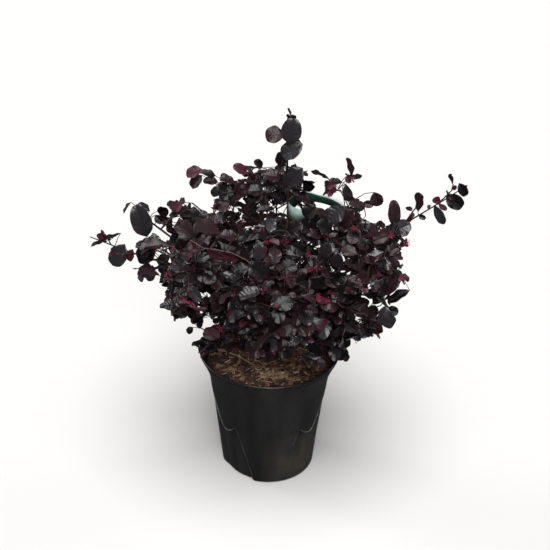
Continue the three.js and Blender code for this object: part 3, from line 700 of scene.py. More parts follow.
def grain(tree, millimetres, detail, stretch=(1, 1, 1)):
    """Noise whose features are about so many millimetres wide, stretched along the object's own axes."""
    place = add_node(tree, "ShaderNodeTexCoord").outputs["Object"]
    scaled = add_node(tree, "ShaderNodeMapping", {"Vector": place, "Scale": stretch})
    settings = {"Vector": scaled.outputs["Vector"], "Scale": 1 / (millimetres * MM), "Detail": detail}
    return add_node(tree, "ShaderNodeTexNoise", settings).outputs["Fac"]


def ramp(tree, factor, stops):
    """A colour ramp from (position, hex colour) stops."""
    node = add_node(tree, "ShaderNodeValToRGB", {"Fac": factor})
    elements = node.color_ramp.elements
    while len(elements) < len(stops):
        elements.new(0.5)
    for element, (position, colour) in zip(elements, stops):
        element.position = position
        element.color = linear(colour)
    return node.outputs["Color"]


def between(tree, value, *limits):
    """How far a value is from one limit to the next, or a range that it is turned to."""
    names = ("From Min", "From Max", "To Min", "To Max")
    inputs = {"Value": value, **dict(zip(names, limits))}
    return add_node(tree, "ShaderNodeMapRange", inputs).outputs["Result"]


def bump(tree, shader, height, millimetres):
    node = add_node(tree, "ShaderNodeBump", {"Height": height, "Distance": millimetres * MM})
    tree.links.new(node.outputs["Normal"], shader.inputs["Normal"])


def blown_polyethylene():
    """High-density polyethylene, blown into a mould: satin black, faintly streaked where it was drawn down,
    with brownish dust and short pale scuffs on its lower wall. The dimples that the mould left in its skin
    are drawn coarser than life, so that they show."""
    material, tree, shader = surface("blown_black_polyethylene", 0.3, Specular_IOR_Level=0.62)
    streak = ramp(tree, grain(tree, 34, 1, (1, 1, 0.06)), [(0.3, "#151515"), (0.7, "#262626")])
    dust = ramp(tree, grain(tree, 38, 3, (1, 1, 0.7)), [(0.35, "#0c0b08"), (0.65, "#383228")])
    scuff = ramp(tree, grain(tree, 2.4, 5, (1, 1, 0.12)), [(0.68, "#000000"), (0.8, "#3a3936")])
    place = add_node(tree, "ShaderNodeTexCoord").outputs["Object"]
    axes = add_node(tree, "ShaderNodeSeparateXYZ", {"Vector": place}).outputs
    low = between(tree, axes["Z"], DUST_TOP * MM, DUST_FULL * MM)
    right = between(tree, axes["X"], DUST_START * MM, DUST_FULL * MM)
    dusty = add_node(tree, "ShaderNodeMath", {0: low, 1: right}, operation="MULTIPLY").outputs[0]
    colour = streak
    for layer, share in ((dust, dusty), (scuff, low)):
        inputs = {"Factor": share, 6: colour, 7: layer}
        colour = add_node(tree, "ShaderNodeMix", inputs, data_type="RGBA", blend_type="ADD").outputs[2]
    tree.links.new(colour, shader.inputs["Base Color"])
    tree.links.new(between(tree, grain(tree, 30, 3), 0.3, 0.7, 0.26, 0.38), shader.inputs["Roughness"])
    bump(tree, shader, grain(tree, 5, 1), 0.03)
    return material


def grained(name, millimetres, detail, stops, roughness, ior=1.5, stretch=(1, 1, 1)):
    """A material whose colour runs through its stops in a grain of so many millimetres."""
    material, tree, shader = surface(name, roughness, ior)
    pattern = grain(tree, millimetres, detail, stretch)
    tree.links.new(ramp(tree, pattern, stops), shader.inputs["Base Color"])
    return material, tree, shader, pattern


def highlight_polyethylene():
    """The same polyethylene, coloured a matt pale grey: a painted highlight along the raised bead at each
    flute's edge.
    """
    return grained("black_polyethylene_painted_highlight", 12, 3, [(0.3, "#2c2d2e"), (0.65, "#6f7172")], 0.5)[0]


def moist_mix():
    """Composted bark and peat, loose and moist: dark brown crumbs with no gloss."""
    stops = [(0.25, "#291b16"), (0.5, "#573e33"), (0.7, "#866756")]
    material, tree, shader, _ = grained("moist_bark_compost", 3, 5, stops, 0.92)
    bump(tree, shader, grain(tree, 2, 5), 1.2)
    return material


def flaked(name, dark, light, millimetres, roughness):
    """A matt scrap of plant matter, broken by hand or dried, with a light and a dark side to its grain."""
    return grained(name, millimetres, 3, [(0.3, dark), (0.7, light)], roughness)[0]


def shrub_bark():
    """Living bark, grown and split: grey-brown plates, fissures along the limb, matt with a woody relief."""
    stops = [(0.28, "#231813"), (0.5, "#3f2f27"), (0.68, "#625040")]
    material, tree, shader, fissures = grained("split_shrub_bark", 2.6, 5, stops, 0.86, 1.5, (1, 1, 0.25))
    bump(tree, shader, fissures, 0.7)
    return material


def twig_bark(name, dark, light):
    """The thin skin of a young twig: smooth, faintly glossy, with fine hairs that dull it in patches."""
    return grained(name, 3, 3, [(0.35, dark), (0.65, light)], 0.62)[0]


def leaf_cuticle(name, colour, roughness, gloss):
    """A leaf's waxed upper skin, grown over a net of sunk veins: broken grey gloss on near black. The net
    is drawn coarser than life, so that it shows."""
    material, tree, shader = surface(name, roughness, 1.45, colour, Specular_IOR_Level=gloss)
    bump(tree, shader, grain(tree, 2.2, 2), 0.3)
    return material


def leaf_underside(name, colour):
    """A leaf's lower skin, downy with short hairs: matt plum with a pale sheen at a glance."""
    down = dict(Sheen_Weight=0.2, Sheen_Roughness=0.4)
    return surface(name, 0.7, 1.4, colour, Specular_IOR_Level=0.3, **down)[0]


def petal(name, colour):
    """A strap petal, thin and moist: soft crimson that glows where light comes through."""
    glow = dict(Subsurface_Weight=0.15, Subsurface_Radius=(0.002, 0.0006, 0.0008))
    return surface(name, 0.5, 1.4, colour, **glow)[0]


def label_strip(name, dark, light):
    """Polypropylene sheet, rolled and slit: smooth and softly glossy, with a faint haze."""
    return grained(name, 14, 2, [(0.35, dark), (0.65, light)], 0.34, 1.49)[0]


def matt_paper():
    """Background paper, calendered: an even pale white with no gloss."""
    return surface("matt_background_paper", 0.95, 1.4, "#dbdad8", Specular_IOR_Level=0.1)[0]


# Upper skins from the most to the least common, with the share of sprays that each one takes
LEAF_TOPS = [
    (leaf_cuticle("waxed_leaf_black_purple", "#120d0e", 0.36, 0.42), 0.36),
    (leaf_cuticle("waxed_leaf_dark_plum", "#29151b", 0.36, 0.44), 0.26),
    (leaf_cuticle("waxed_leaf_brown_plum", "#302023", 0.42, 0.4), 0.2),
    # a paler grey, partly painted sheen
    (leaf_cuticle("waxed_leaf_slate_and_painted_sheen", "#292629", 0.33, 0.8), 0.18),
]
LEAF_MATERIALS = [material for material, _ in LEAF_TOPS] + [
    leaf_cuticle("waxed_leaf_young_red", "#431926", 0.42, 0.4),
    leaf_underside("downy_leaf_back_plum", "#371a26"),
    leaf_underside("downy_leaf_back_mauve", "#46222f"),
]
YOUNG_SLOT = len(LEAF_TOPS)
BACK_SLOT = YOUNG_SLOT + 1
TWIG_MATERIALS = [
    twig_bark("twig_skin_brown", "#241814", "#3c2b22"),
    twig_bark("twig_skin_purple", "#2d141b", "#48202b"),
    twig_bark("twig_skin_pale", "#5a3c34", "#7c584e"),
]
BROWN_TWIG, PURPLE_TWIG, PALE_TWIG = range(3)
PETAL_MATERIALS = [petal("moist_petal_crimson", "#9a2f51"), petal("moist_petal_wine", "#741f3a")]
WINE_PETAL = 1


# The rule of the limbs and twigs

Limb = namedtuple("Limb", "points radii")


def taper(count, base, tip):
    return base + (tip - base) * np.arange(count) / (count - 1)


def limb_from(points, base, tip):
    return Limb(np.array(points), taper(len(points), base, tip))


def trunk_point(t):
    sway = math.sin(t * math.pi * TRUNK_SWAY_TURNS) * TRUNK_SWAY
    foot = MIX_TOP - TRUNK_SUNK
    height = foot + (TRUNK_TOP - foot) * t**TRUNK_RISE_CURVE
    return vec(TRUNK_LEAN[0] * t + sway, TRUNK_LEAN[1] * t - sway, height)


def trunk_radius(t):
    flare = (TRUNK_FLARE - TRUNK_FOOT) * max(0, 1 - t * TRUNK_FLARE_PARTS) ** TRUNK_FLARE_CURVE
    return TRUNK_FOOT + (TRUNK_TIP - TRUNK_FOOT) * t + flare


def point_along(limb, share):
    """The point, the radius and the direction at a share of a limb's points."""
    place = share * (len(limb.points) - 1)
    i = min(int(place), len(limb.points) - 2)
    t = place - i
    step = limb.points[i + 1] - limb.points[i]
    radius = limb.radii[i] + (limb.radii[i + 1] - limb.radii[i]) * t
    return limb.points[i] + step * t, radius, unit(step)


def room_inside(points, mass, overlap=0.0):
    """How far points lie inside a mass's own space, out to its reach and half way to its neighbours."""
    points = np.atleast_2d(points)
    centre = CENTRES[mass.name]
    to_centre = ((points - centre) ** 2).sum(1)
    room = mass.reach - np.sqrt(to_centre)
    for name, other in CENTRES.items():
        if name != mass.name:
            gap = math.dist(other, centre)
            nearer = (((points - other) ** 2).sum(1) - to_centre) / (2 * gap)
            room = np.minimum(room, nearer + overlap)
    return room


def bough_curve(mass, carrier):
    """The curve of a bough from its carrier to where it enters its mass, as a function of a share."""
    start = point_along(carrier, mass.share)[0]
    centre = CENTRES[mass.name]
    reach = centre - start
    bend = start + reach * BOUGH_BEND + vec(mass.bow, 0, math.sqrt(reach @ reach) * mass.kind.rise)

    def at(t):
        return start * (1 - t) ** 2 + bend * 2 * t * (1 - t) + centre * t * t

    samples = np.array([at(i / BOUGH_SAMPLES) for i in range(BOUGH_SAMPLES + 1)])
    last = int(np.argmax(room_inside(samples, mass) > BOUGH_ENTRY))
    return lambda share: at(share * last / BOUGH_SAMPLES)


def segment_gaps(a0, a1, starts, ends):
    """The distance from one segment to each of several others."""
    d1 = a1 - a0
    d2 = ends - starts
    r = a0 - starts
    a = d1 @ d1
    e = np.maximum((d2 * d2).sum(1), ALMOST_NOTHING)
    f = (d2 * r).sum(1)
    c = r @ d1
    b = d2 @ d1
    denominator = a * e - b * b
    s = np.clip((b * f - c * e) / np.maximum(denominator, ALMOST_NOTHING), 0, 1)
    s = np.where(denominator > ALMOST_NOTHING, s, 0)
    t = (b * s + f) / e
    s = np.where(t < 0, np.clip(-c / a, 0, 1), np.where(t > 1, np.clip((b - c) / a, 0, 1), s))
    t = np.clip(t, 0, 1)
    apart = a0 + d1 * s[:, None] - starts - d2 * t[:, None]
    return np.sqrt((apart * apart).sum(1))


def clear_of_limbs(points, limbs, spare):
    for limb in limbs:
        keep = np.maximum(limb.radii[:-1], limb.radii[1:]) + spare
        for a0, a1 in zip(points[:-1], points[1:]):
            if (segment_gaps(a0, a1, limb.points[:-1], limb.points[1:]) < keep).any():
                return False
    return True


def clear_of_pot(points):
    x, y, z = np.atleast_2d(points).T
    return bool(((z > POT_HEIGHT + OVER_LIP) | (np.hypot(x, y) > LIP_RADIUS + OFF_LIP)).all())


def cut_back(points, fits, least=2):
    """Takes points off a twig's end until it fits. Says whether it does."""
    while len(points) > least and not fits(points):
        points.pop()
    return fits(points)


def twig_line(draw, start, direction, length, habit):
    """The points of a twig, each a step on. By its habit it rises or droops, and wanders a little."""
    steps = max(2, int(length / habit["step"] + 0.5))
    points = [start]
    heading = direction
    for _ in range(steps):
        heading = unit(heading + vec(0, 0, habit["rise"]) / steps + shake(draw, habit["wander"]))
        points.append(points[-1] + heading * length / steps)
    return points


def way_off(along, turn, lift):
    """A direction that leaves a limb at so many degrees, at a turn round it."""
    around = turned(unit(np.cross(level_or_upright(along), along)), along, turn)
    lift = math.radians(lift)
    return along * math.cos(lift) + around * math.sin(lift)


def grow_twigs(mass, bough, limbs):
    """A mass's main stem, and the twigs that leave it at the golden turn."""
    draw = seeded(TWIG_SEED + MASSES.index(mass))
    foot = bough.points[-1]
    direction = unit(foot - bough.points[-2])
    goal = CENTRES[mass.name] - foot
    outwards = unit(CENTRES[mass.name] - CROWN_HEART)
    heading = unit(unit(goal) + outwards * STEM["outwards"] + direction * STEM["onwards"])
    length = math.sqrt(goal @ goal) + mass.reach * STEM["past"]
    line = twig_line(draw, foot, heading, length, {**STEM, "rise": mass.kind.pull})
    cut_back(line, lambda points: room_inside(points[-1], mass)[0] >= STEM["margin"], 3)
    stem = limb_from(line, bough.radii[-1] * STEM["fit"], TWIG["tip"])
    twigs = [stem]
    wanted = mass.kind.twigs or int(mass.reach / REACH_PER_TWIG + 0.5)

    def fits(points):
        return room_inside(points[1:], mass).min() > TWIG["margin"] and clear_of_pot(points)

    for k in range(TWIG_TRIES):
        if len(twigs) > wanted:
            break
        share = TWIG_PLACES[0] + TWIG_PLACES[1] * ((k * GOLDEN_SHARE) % 1)
        point, radius, along = point_along(stem, share)
        turn = about(draw, k * GOLDEN_TURN, TWIG_TURN_SPREAD)
        way = way_off(along, turn, mass.kind.lift - mass.kind.lift_loss * share)
        full = mass.reach * (1 - TWIG_LENGTH_LOSS * share) * about(draw, 1, TWIG_LENGTH_SPREAD)
        reach = mass.kind.twig_length or full
        points = twig_line(draw, point, way, reach, TWIG)
        if cut_back(points, fits) and clear_of_limbs(points, limbs, TWIG_OFF_LIMBS):
            twigs.append(limb_from(points, min(TWIG["base"], radius * TWIG["thinner"]), TWIG["tip"]))
    return twigs


def label_centre(stem):
    """The centre of the label's loop, which hangs against the tall shoot's stem at its -X end."""
    above = next(i for i, p in enumerate(stem.points) if p[2] > LABEL["at"])
    low, high = stem.points[above - 1], stem.points[above]
    share = (LABEL["at"] - low[2]) / (high[2] - low[2])
    point, radius, direction = point_along(stem, (above - 1 + share) / (len(stem.points) - 1))
    lean = abs(direction[0]) * LABEL["height"] / 2
    inside = (LABEL["across"] - LABEL["thickness"]) / 2
    return point + vec(inside - radius - LABEL["off_stem"] - lean, 0, 0)


def label_ring(centre, grow, count):
    turns = np.arange(count + 1) * 2 * math.pi / count
    x = np.cos(turns) * (LABEL["across"] / 2 + grow)
    y = np.sin(turns) * (LABEL["deep"] / 2 + grow)
    return np.stack([x, y, x * math.tan(math.radians(LABEL["tilt"]))], 1) + centre


def shares(steps):
    """Even shares from 0 to 1."""
    return [i / steps for i in range(steps + 1)]


trunk = Limb(
    np.array([trunk_point(t) for t in shares(TRUNK_STEPS)]),
    np.array([trunk_radius(t) for t in shares(TRUNK_STEPS)]),
)
limbs = {"trunk": trunk}
curves = {}
for mass in MASSES:
    curves[mass.name] = bough_curve(mass, limbs[mass.carrier])
    line = [curves[mass.name](t) for t in shares(BOUGH_STEPS)]
    limbs[mass.name] = limb_from(line, mass.girth, mass.kind.bough_tip)
LABEL_CENTRE = label_centre(limbs["tall_shoot"])
label_path = label_ring(LABEL_CENTRE, 0, LABEL["segments"])
obstacles = [*limbs.values(), Limb(label_path, np.full(len(label_path), LABEL["height"] / 2 + 1))]
twigs_of = {mass.name: grow_twigs(mass, limbs[mass.name], obstacles) for mass in MASSES}


# The bark


def rough_bark(height):
    """Plates and fissures that run along a limb, as a height over its skin."""

    def relief(turn, point):
        rough = 0
        for round_it, along_it, layer, share in BARK_PLATES:
            x, y = round_axis(round_it, turn)
            rough += share * noise.noise(Vector((x, y, point[2] * along_it + layer)))
        return height * rough

    return relief


def make_trunk_and_boughs():
    bundle = Bundle()
    steps = shares(TRUNK_SKIN["steps"])
    line, radii = [trunk_point(t) for t in steps], [trunk_radius(t) for t in steps]
    bundle.add(*tube(line, radii, TRUNK_SKIN["sides"], relief=rough_bark(TRUNK_SKIN["relief"])))
    for mass in MASSES:
        line = [curves[mass.name](t) for t in shares(BOUGH_SKIN["steps"])]
        radii = taper(len(line), mass.girth, mass.kind.bough_tip)
        relief = rough_bark(mass.girth * BOUGH_SKIN["relief"])
        bundle.add(*tube(line, radii, BOUGH_SKIN["sides"], relief=relief))
    piece = bundle.piece("trunk_and_boughs", [shrub_bark()])
    settle(piece, "bark", "trunk", *["bough_" + mass.name for mass in MASSES])


# Leaves

LEAF_ROWS = 12
LEAF_COLUMNS = (-1, -0.5, 0, 0.5, 1)
LEAF_SPANS = len(LEAF_COLUMNS) - 1
LEAF_VEIN_SWEEP = 0.18
LEAF_SWEEP_CURVE = 0.9
LEAF_WIDEST = 0.47
LEAF_BASE_CURVE = 2.1
LEAF_TIP_CURVE = 0.92
LEAF_PLEAT = 0.026  # how deep the side veins lie at most, against the leaf's length
LEAF_PLEAT_SHARES = (0.2, 0.8, 3)  # the least share of that, how much more, and how few leaves have it
LEAF_RIDGE = -0.6  # how high the skin stands between two veins, against how deep they lie
LEAF_PLEAT_AT = {0: 0, 0.5: 1, 1: 0.4}
LEAF_ARCH = 0.018
LEAF_KEEL = -0.02
LEAF_RIM_WAVES = 2.2
LEAF_RIM_WAVE = 0.035


def leaf_half_width(s):
    """The half width of a blunt oval leaf at a share of its length."""
    if s > LEAF_WIDEST:
        left = (s - LEAF_WIDEST) / (1 - LEAF_WIDEST)
        return 0.5 * math.sqrt(max(0.0, 1 - left**2)) ** LEAF_TIP_CURVE
    return 0.5 * (1 - ((LEAF_WIDEST - s) / LEAF_WIDEST) ** LEAF_BASE_CURVE)


def leaf_row(i):
    """The points of a row, which follows a side vein, swept forward from the midrib."""
    along = i / LEAF_ROWS
    at_edge = along + LEAF_VEIN_SWEEP * math.sin(math.pi * along) ** LEAF_SWEEP_CURVE
    pleat = 1 if i % 2 else LEAF_RIDGE
    row = []
    for v in LEAF_COLUMNS:
        out = abs(v)
        place = (along + (at_edge - along) * out, v * leaf_half_width(at_edge))
        row.append((*place, out == 0.5, LEAF_PLEAT_AT[out] * pleat, out == 1))
    return row


def leaf_template():
    """A leaf's points as shares (along, across, arch, pleat, edge), and its upper and lower faces.

    Rows lie in a vein and between two veins by turns, so the blade is pleated as the real one is.
    """
    points = [(0, 0, 0, 0, 0)]
    for i in range(1, LEAF_ROWS):
        points += leaf_row(i)
    starts = [0, *range(1, len(points), len(LEAF_COLUMNS))]
    tip = len(points)
    points.append((1, 0, 0, 0, 0))
    keel = len(points)
    points += [(i / LEAF_ROWS, 0, -1, 0, 0) for i in range(1, LEAF_ROWS)]
    upper, lower = [], []
    for i in range(1, LEAF_ROWS - 1):
        a, b = starts[i], starts[i + 1]
        for k in range(LEAF_SPANS):
            upper += [(a + k, b + k, b + k + 1), (a + k, b + k + 1, a + k + 1)]
        under, onward = keel + i - 1, keel + i
        right, further = a + LEAF_SPANS, b + LEAF_SPANS
        lower += [(a, under, onward), (a, onward, b), (right, further, onward), (right, onward, under)]
    first, end = starts[1], starts[-1]
    for k in range(LEAF_SPANS):
        upper += [(0, first + k, first + k + 1), (end + k, tip, end + k + 1)]
    keel_end = keel + LEAF_ROWS - 2
    lower += [(0, keel, first), (0, first + LEAF_SPANS, keel)]
    lower += [(end, keel_end, tip), (end + LEAF_SPANS, tip, keel_end)]
    faces = np.array([face[::-1] for face in upper] + [face[::-1] for face in lower])
    creases = [{0, tip} | {start + k for start in starts[1:] for k in (0, LEAF_SPANS)}]
    creases += [{0, tip} | {start + LEAF_SPANS // 2 for start in starts[1:]}]
    creases += [set(range(start, start + len(LEAF_COLUMNS))) for start in starts[2::2]]
    marks = np.array([[i in crease for i in range(len(points))] for crease in creases])
    return np.array(points, float), faces, len(upper), marks


# LEAF_CREASES marks the points of the rim, the midrib and each sunk vein, where the skin turns sharply
LEAF_POINTS, LEAF_FACES, LEAF_UPPER, LEAF_CREASES = leaf_template()

# How one leaf lies: where its blade starts, the ways along and across it, its size, its curl, and a number
# from 0 to 1 of its own that says how its rim waves and how deep its veins lie
Leaf = namedtuple("Leaf", "base along across length width fold bend twist own top back")


def level_side(draw, direction, roll):
    """A level direction across a twig, rolled a little round it."""
    flat = vec(1, 0, 0) if abs(direction[2]) > STEEP else vec(-direction[1], direction[0], 0)
    return turned(unit(flat), direction, spread(draw, roll))


def leaf_axes(draw, mass, point, direction, side):
    """A blade that runs out sideways from its twig with its face turned up and outwards."""
    sideways = level_side(draw, direction, LEAF_LIE["roll"])
    angle = math.radians(LEAF["angle"]) if side else LEAF_LIE["end_angle"]
    angle += spread(draw, LEAF_LIE["angle_spread"])
    rise = spread(draw, LEAF_LIE["rise_spread"]) - LEAF_LIE["droop"]
    way = direction * math.cos(angle) + sideways * (side or 1) * math.sin(angle)
    along = unit(way + vec(0, 0, rise))
    outwards = VIEW_SIDE if mass.kind.twigs else unit((point - CROWN_HEART) * vec(1, 1, LEVEL_FACE))
    lean = [spread(draw, LEAF_FACE["lean"]) for _ in range(2)]
    face = vec(*lean, about(draw, LEAF_FACE["up"], LEAF_FACE["up_spread"]))
    face += outwards * LEAF_FACE["outwards"]
    return along, unit(np.cross(unit(face), along))


def leaf_mesh(name, leaves, materials):
    """All leaves of a group in one mesh. The upper and lower skin meet in a sharp rim."""
    along, across, arch, pleat, edge = LEAF_POINTS.T
    column = {field: np.array([getattr(leaf, field) for leaf in leaves])[:, None] for field in Leaf._fields}
    length, own, bend = column["length"], column["own"], column["bend"]
    y = across * length * column["width"]
    least, more, few = LEAF_PLEAT_SHARES
    skin = arch * LEAF_ARCH + pleat * LEAF_PLEAT * (least + more * own**few)
    blade = np.where(arch >= 0, skin, LEAF_KEEL)
    wave = np.sin(2 * math.pi * (along * LEAF_RIM_WAVES + own)) * edge * LEAF_RIM_WAVE
    z = np.abs(y) * np.tan(column["fold"]) + length * (blade + wave)
    twist = column["twist"] * along
    y, z = y * np.cos(twist) - z * np.sin(twist), y * np.sin(twist) + z * np.cos(twist)
    turn = bend * along
    x = length * np.sin(turn) / bend + z * np.sin(turn)
    z = z * np.cos(turn) - length * (1 - np.cos(turn)) / bend
    normal = np.cross(column["along"], column["across"])
    vertices = column["base"] + x[..., None] * column["along"] + y[..., None] * column["across"]
    vertices = (vertices + z[..., None] * normal).reshape(-1, 3)
    offsets = np.arange(len(leaves)) * len(LEAF_POINTS)
    faces = (LEAF_FACES[None] + offsets[:, None, None]).reshape(-1, 3)
    is_upper = np.arange(len(LEAF_FACES)) < LEAF_UPPER
    slots = np.where(is_upper, column["top"], column["back"]).reshape(-1)
    piece = piece_from(name, vertices, faces, materials, slots)
    ends = np.zeros(len(piece.data.edges) * 2, np.int32)
    piece.data.edges.foreach_get("vertices", ends)
    sharp = LEAF_CREASES[:, ends.reshape(-1, 2) % len(LEAF_POINTS)].all(2).any(0)
    piece.data.attributes.new("sharp_edge", "BOOLEAN", "EDGE").data.foreach_set("value", sharp)
    return piece


def pick_top(draw, paling=1):
    """The slot of an upper skin, dealt out by its share. A second number under 1 favours the paler skins, as
    painted light.
    """
    level = draw() ** paling
    for slot, (_, share) in enumerate(LEAF_TOPS):
        level -= share
        if level < 0:
            return slot
    return 0


# Sprays


class Spray:
    """What a group gathers while its sprays grow: twigs, leaves, blossom, and places that may flower."""

    def __init__(self):
        self.wood = Bundle()
        self.leaves = []
        self.blossom = Bundle()
        self.nodes = []


def add_leaf(draw, mass, spray, point, direction, side, size, top):
    """One leaf on its stalk, unless it would stand in the way. Says whether it was made."""
    along, across = leaf_axes(draw, mass, point, direction, side)
    length = size * about(draw, 1, LEAF_LENGTH_SPREAD)
    width = LEAF["width"] * about(draw, 1, LEAF_WIDTH_SPREAD)
    base = point + along * LEAF["petiole"] * length / LEAF["length"]
    ribs = [base + along * length * share for share in LEAF_TESTS]
    if room_inside(ribs[1:], mass, LEAF["overlap"]).min() < 0 or not clear_of_pot(ribs[1:]):
        return False
    sides = [rib + across * length * width * LEAF_TEST_SIDE * way for rib in ribs[:2] for way in (-1, 1)]
    if in_the_open(ribs + sides):
        return False
    fold = math.radians(about(draw, *LEAF_FOLD))
    bend = about(draw, *LEAF_BEND)
    back = BACK_SLOT + (draw() < MAUVE_SHARE)
    curl = (fold, bend, spread(draw, LEAF_TWIST), draw())
    spray.leaves.append(Leaf(base, along, across, length, width, *curl, top, back))
    stalk = tube([point, base + along * STALK["into"]], [STALK["base"], STALK["tip"]], STALK_SIDES)
    spray.wood.add(*stalk, PURPLE_TWIG)
    return True


def add_blossom(draw, spray, point, direction):
    """A small tuft of strap petals on a short stalk."""
    draw = seeded(int(draw() * BLOSSOM_SEEDS))
    count = PETALS[0] + int(draw() * (PETALS[1] - PETALS[0]))
    slot = int(draw() < WINE_SHARE)
    heart = point + unit(direction) * TUFT_STALK["length"]
    spray.blossom.add_stick([point, heart], TUFT_STALK, WINE_PETAL)
    for _ in range(count):
        way = unit(direction + vec(0, 0, PETAL_LIFT) + shake(draw, PETAL_SCATTER))
        length = PETAL_LENGTH * at_least(draw, *PETAL_SHARES)
        spray.blossom.add_stick(twig_line(draw, heart, way, length, PETAL), PETAL, slot)


def cut_at(limb, share):
    """The part of a limb up to a share of its points."""
    kept = max(1, math.ceil(share * (len(limb.points) - 1)))
    point, radius, _ = point_along(limb, share)
    return Limb(np.vstack([limb.points[:kept], point]), np.append(limb.radii[:kept], radius))


def by_turns(i):
    """One side of a twig and the other by turns."""
    return 1 if i % 2 else -1


def grow_spray(draw, mass, spray, line, wood_slot):
    """Leaves by turns along both sides of a twig, smaller towards its tip, with young ones at its end.

    The twig ends at its last leaf, and there is none where no leaf has room. Says whether it was made."""
    limb = limb_from(line, SPRAY["base"], SPRAY["tip"])
    # The top of the crown is dealt paler skins more often, as painted light.
    top = pick_top(draw, TOP_PAINTED_LIGHT if mass.group == "top" else 1)
    count = max(2, int(line_length(line) / LEAF["spacing"]))
    placed = []
    for i in range(count):
        share = (i + FIRST_LEAF) / count * LAST_LEAF
        point, _, direction = point_along(limb, share)
        size = LEAF["length"] * (LEAF_SIZES[0] - LEAF_SIZES[1] * share) * at_least(draw, *LENGTH_SHARES)
        size *= LOW_LEAF if mass.group == "low" else 1
        if add_leaf(draw, mass, spray, point, direction, by_turns(i), size, top):
            placed.append((share, point, direction))
    if not placed:
        return False
    reach = placed[-1][0]
    tip, _, direction = point_along(limb, NEAR_END)
    for side in (0, 1):
        size = LEAF["length"] * YOUNG_LEAF * about(draw, 1, YOUNG_SPREAD)
        skin = YOUNG_SLOT if draw() < YOUNG_SHARE else top
        if add_leaf(draw, mass, spray, tip, direction, side, size, skin):
            reach = 1
    spray.wood.add(*tube(*cut_at(limb, reach), SPRAY_SIDES), wood_slot)
    for _, point, direction in placed:
        spray.nodes.append((point, direction))
        if mass.kind is CROWN and draw() < BLOSSOM_SHARE:
            add_blossom(draw, spray, point, direction + vec(0, 0, BLOSSOM_RISE))
    return True


def side_way(draw, direction, side, lift):
    """A direction that leaves a twig sideways, close to the level."""
    sideways = level_side(draw, direction, SPRAY_ROLL) * side
    return unit(direction * math.cos(lift) + sideways * math.sin(lift))


def grow_fine_twigs(draw, mass, carrier, count):
    """Finer twigs that leave a stem or a twig at the golden turn, cut back to their mass's own space, each
    with the share of its carrier that it leaves from."""
    twigs = []
    first_turn = draw() * 2 * math.pi

    def fits(points):
        inside = room_inside(points[1:], mass, FINE_OVERLAP).min() > FINE_MARGIN
        return inside and clear_of_pot(points) and not leaves_the_crown(points[1:])

    for k in range(count):
        share = FINE["first"] + FINE["range"] * (k + draw()) / count
        point, radius, along = point_along(carrier, share)
        way = way_off(along, first_turn + k * GOLDEN_TURN, about(draw, FINE["lift"], LIFT_SPREAD))
        length = mass.reach * FINE["length"] * at_least(draw, *LENGTH_SHARES)
        points = twig_line(draw, point, way, length, FINE)
        if cut_back(points, fits):
            base = min(FINE_BASE, radius * TWIG["thinner"])
            twigs.append((share, limb_from(points, base, SPRAY["base"] * FINE_END)))
    return twigs


def share_on(limb, point):
    """The share of a limb that lies nearest to a point, and how far off it is."""
    starts, steps = limb.points[:-1], np.diff(limb.points, axis=0)
    t = np.clip(((point - starts) * steps).sum(1) / (steps * steps).sum(1), 0, 1)
    places = starts + steps * t[:, None]
    i = nearest(places, point)
    return (i + t[i]) / len(steps), math.dist(places[i], point)


def kept_twigs(mass):
    """A mass's stem and twigs, cut back to where the photograph stops showing them."""
    kept = []
    for twig in twigs_of[mass.name]:
        count = len(twig.points)
        while count > 2 and leaves_the_crown(twig.points[1:count]):
            count -= 1
        if not kept or not leaves_the_crown(twig.points[1]) and share_on(kept[0], twig.points[0])[1] < 1:
            kept.append(Limb(twig.points[:count], twig.radii[:count]))
    return kept


def dress_twig(draw, mass, spray, twig, density, reach=0):
    """The sprays that leave a twig by turns, and its wood as far as it bears them, or as far as reach, the
    share that carries other twigs. Says whether anything was made."""
    first, room = SPRAY["first"], SPRAY_LAST - SPRAY["first"]
    bearing = line_length(twig.points) * (1 - first)
    count = max(1, int(bearing * density / SPRAY["spacing"]))

    def fits(points):
        return room_inside(points[-1], mass, FINE_OVERLAP)[0] >= SPRAY_MARGIN and clear_of_pot(points[1:])

    for i in range(count):
        share = first + room * (i + 0.5) / count
        point, _, direction = point_along(twig, share)
        way = side_way(draw, direction, by_turns(i), math.radians(about(draw, SPRAY["lift"], LIFT_SPREAD)))
        length = SPRAY["length"] * (1 - SPRAY_LENGTH_LOSS * share) * at_least(draw, *SPRAY_LENGTH_SHARES)
        line = twig_line(draw, point, way, length, SPRAY)
        cut_back(line, fits)
        if not leaves_the_crown(line[1:]) and grow_spray(draw, mass, spray, line, int(draw() < 0.5)):
            reach = max(reach, share)
    tip, _, direction = point_along(twig, AT_END)
    line = twig_line(draw, tip, direction, SPRAY["length"] * END_SPRAY, SPRAY)
    if not leaves_the_crown(line[1:]) and grow_spray(draw, mass, spray, line, PURPLE_TWIG):
        reach = 1
    if reach:
        spray.wood.add(*tube(*cut_at(twig, reach), TWIG_SIDES), BROWN_TWIG)
    return reach > 0


def dress_mass(draw, mass, spray):
    """A mass's stem, twigs and finer twigs, with their leaves. The top of the crown is more open."""
    density = TOP_SHARE if mass.group == "top" else 1
    stem, *twigs = kept_twigs(mass)
    stem_reach = 0
    for carrier in [*twigs, stem]:
        on_stem = carrier is stem
        reach = stem_reach if on_stem else 0
        count = int(FINE["on_stem" if on_stem else "on_twig"] * density)
        for share, fine in grow_fine_twigs(draw, mass, carrier, count):
            if dress_twig(draw, mass, spray, fine, density):
                reach = max(reach, share)
        if dress_twig(draw, mass, spray, carrier, density, reach) and not on_stem:
            stem_reach = max(stem_reach, share_on(stem, carrier.points[0])[0])


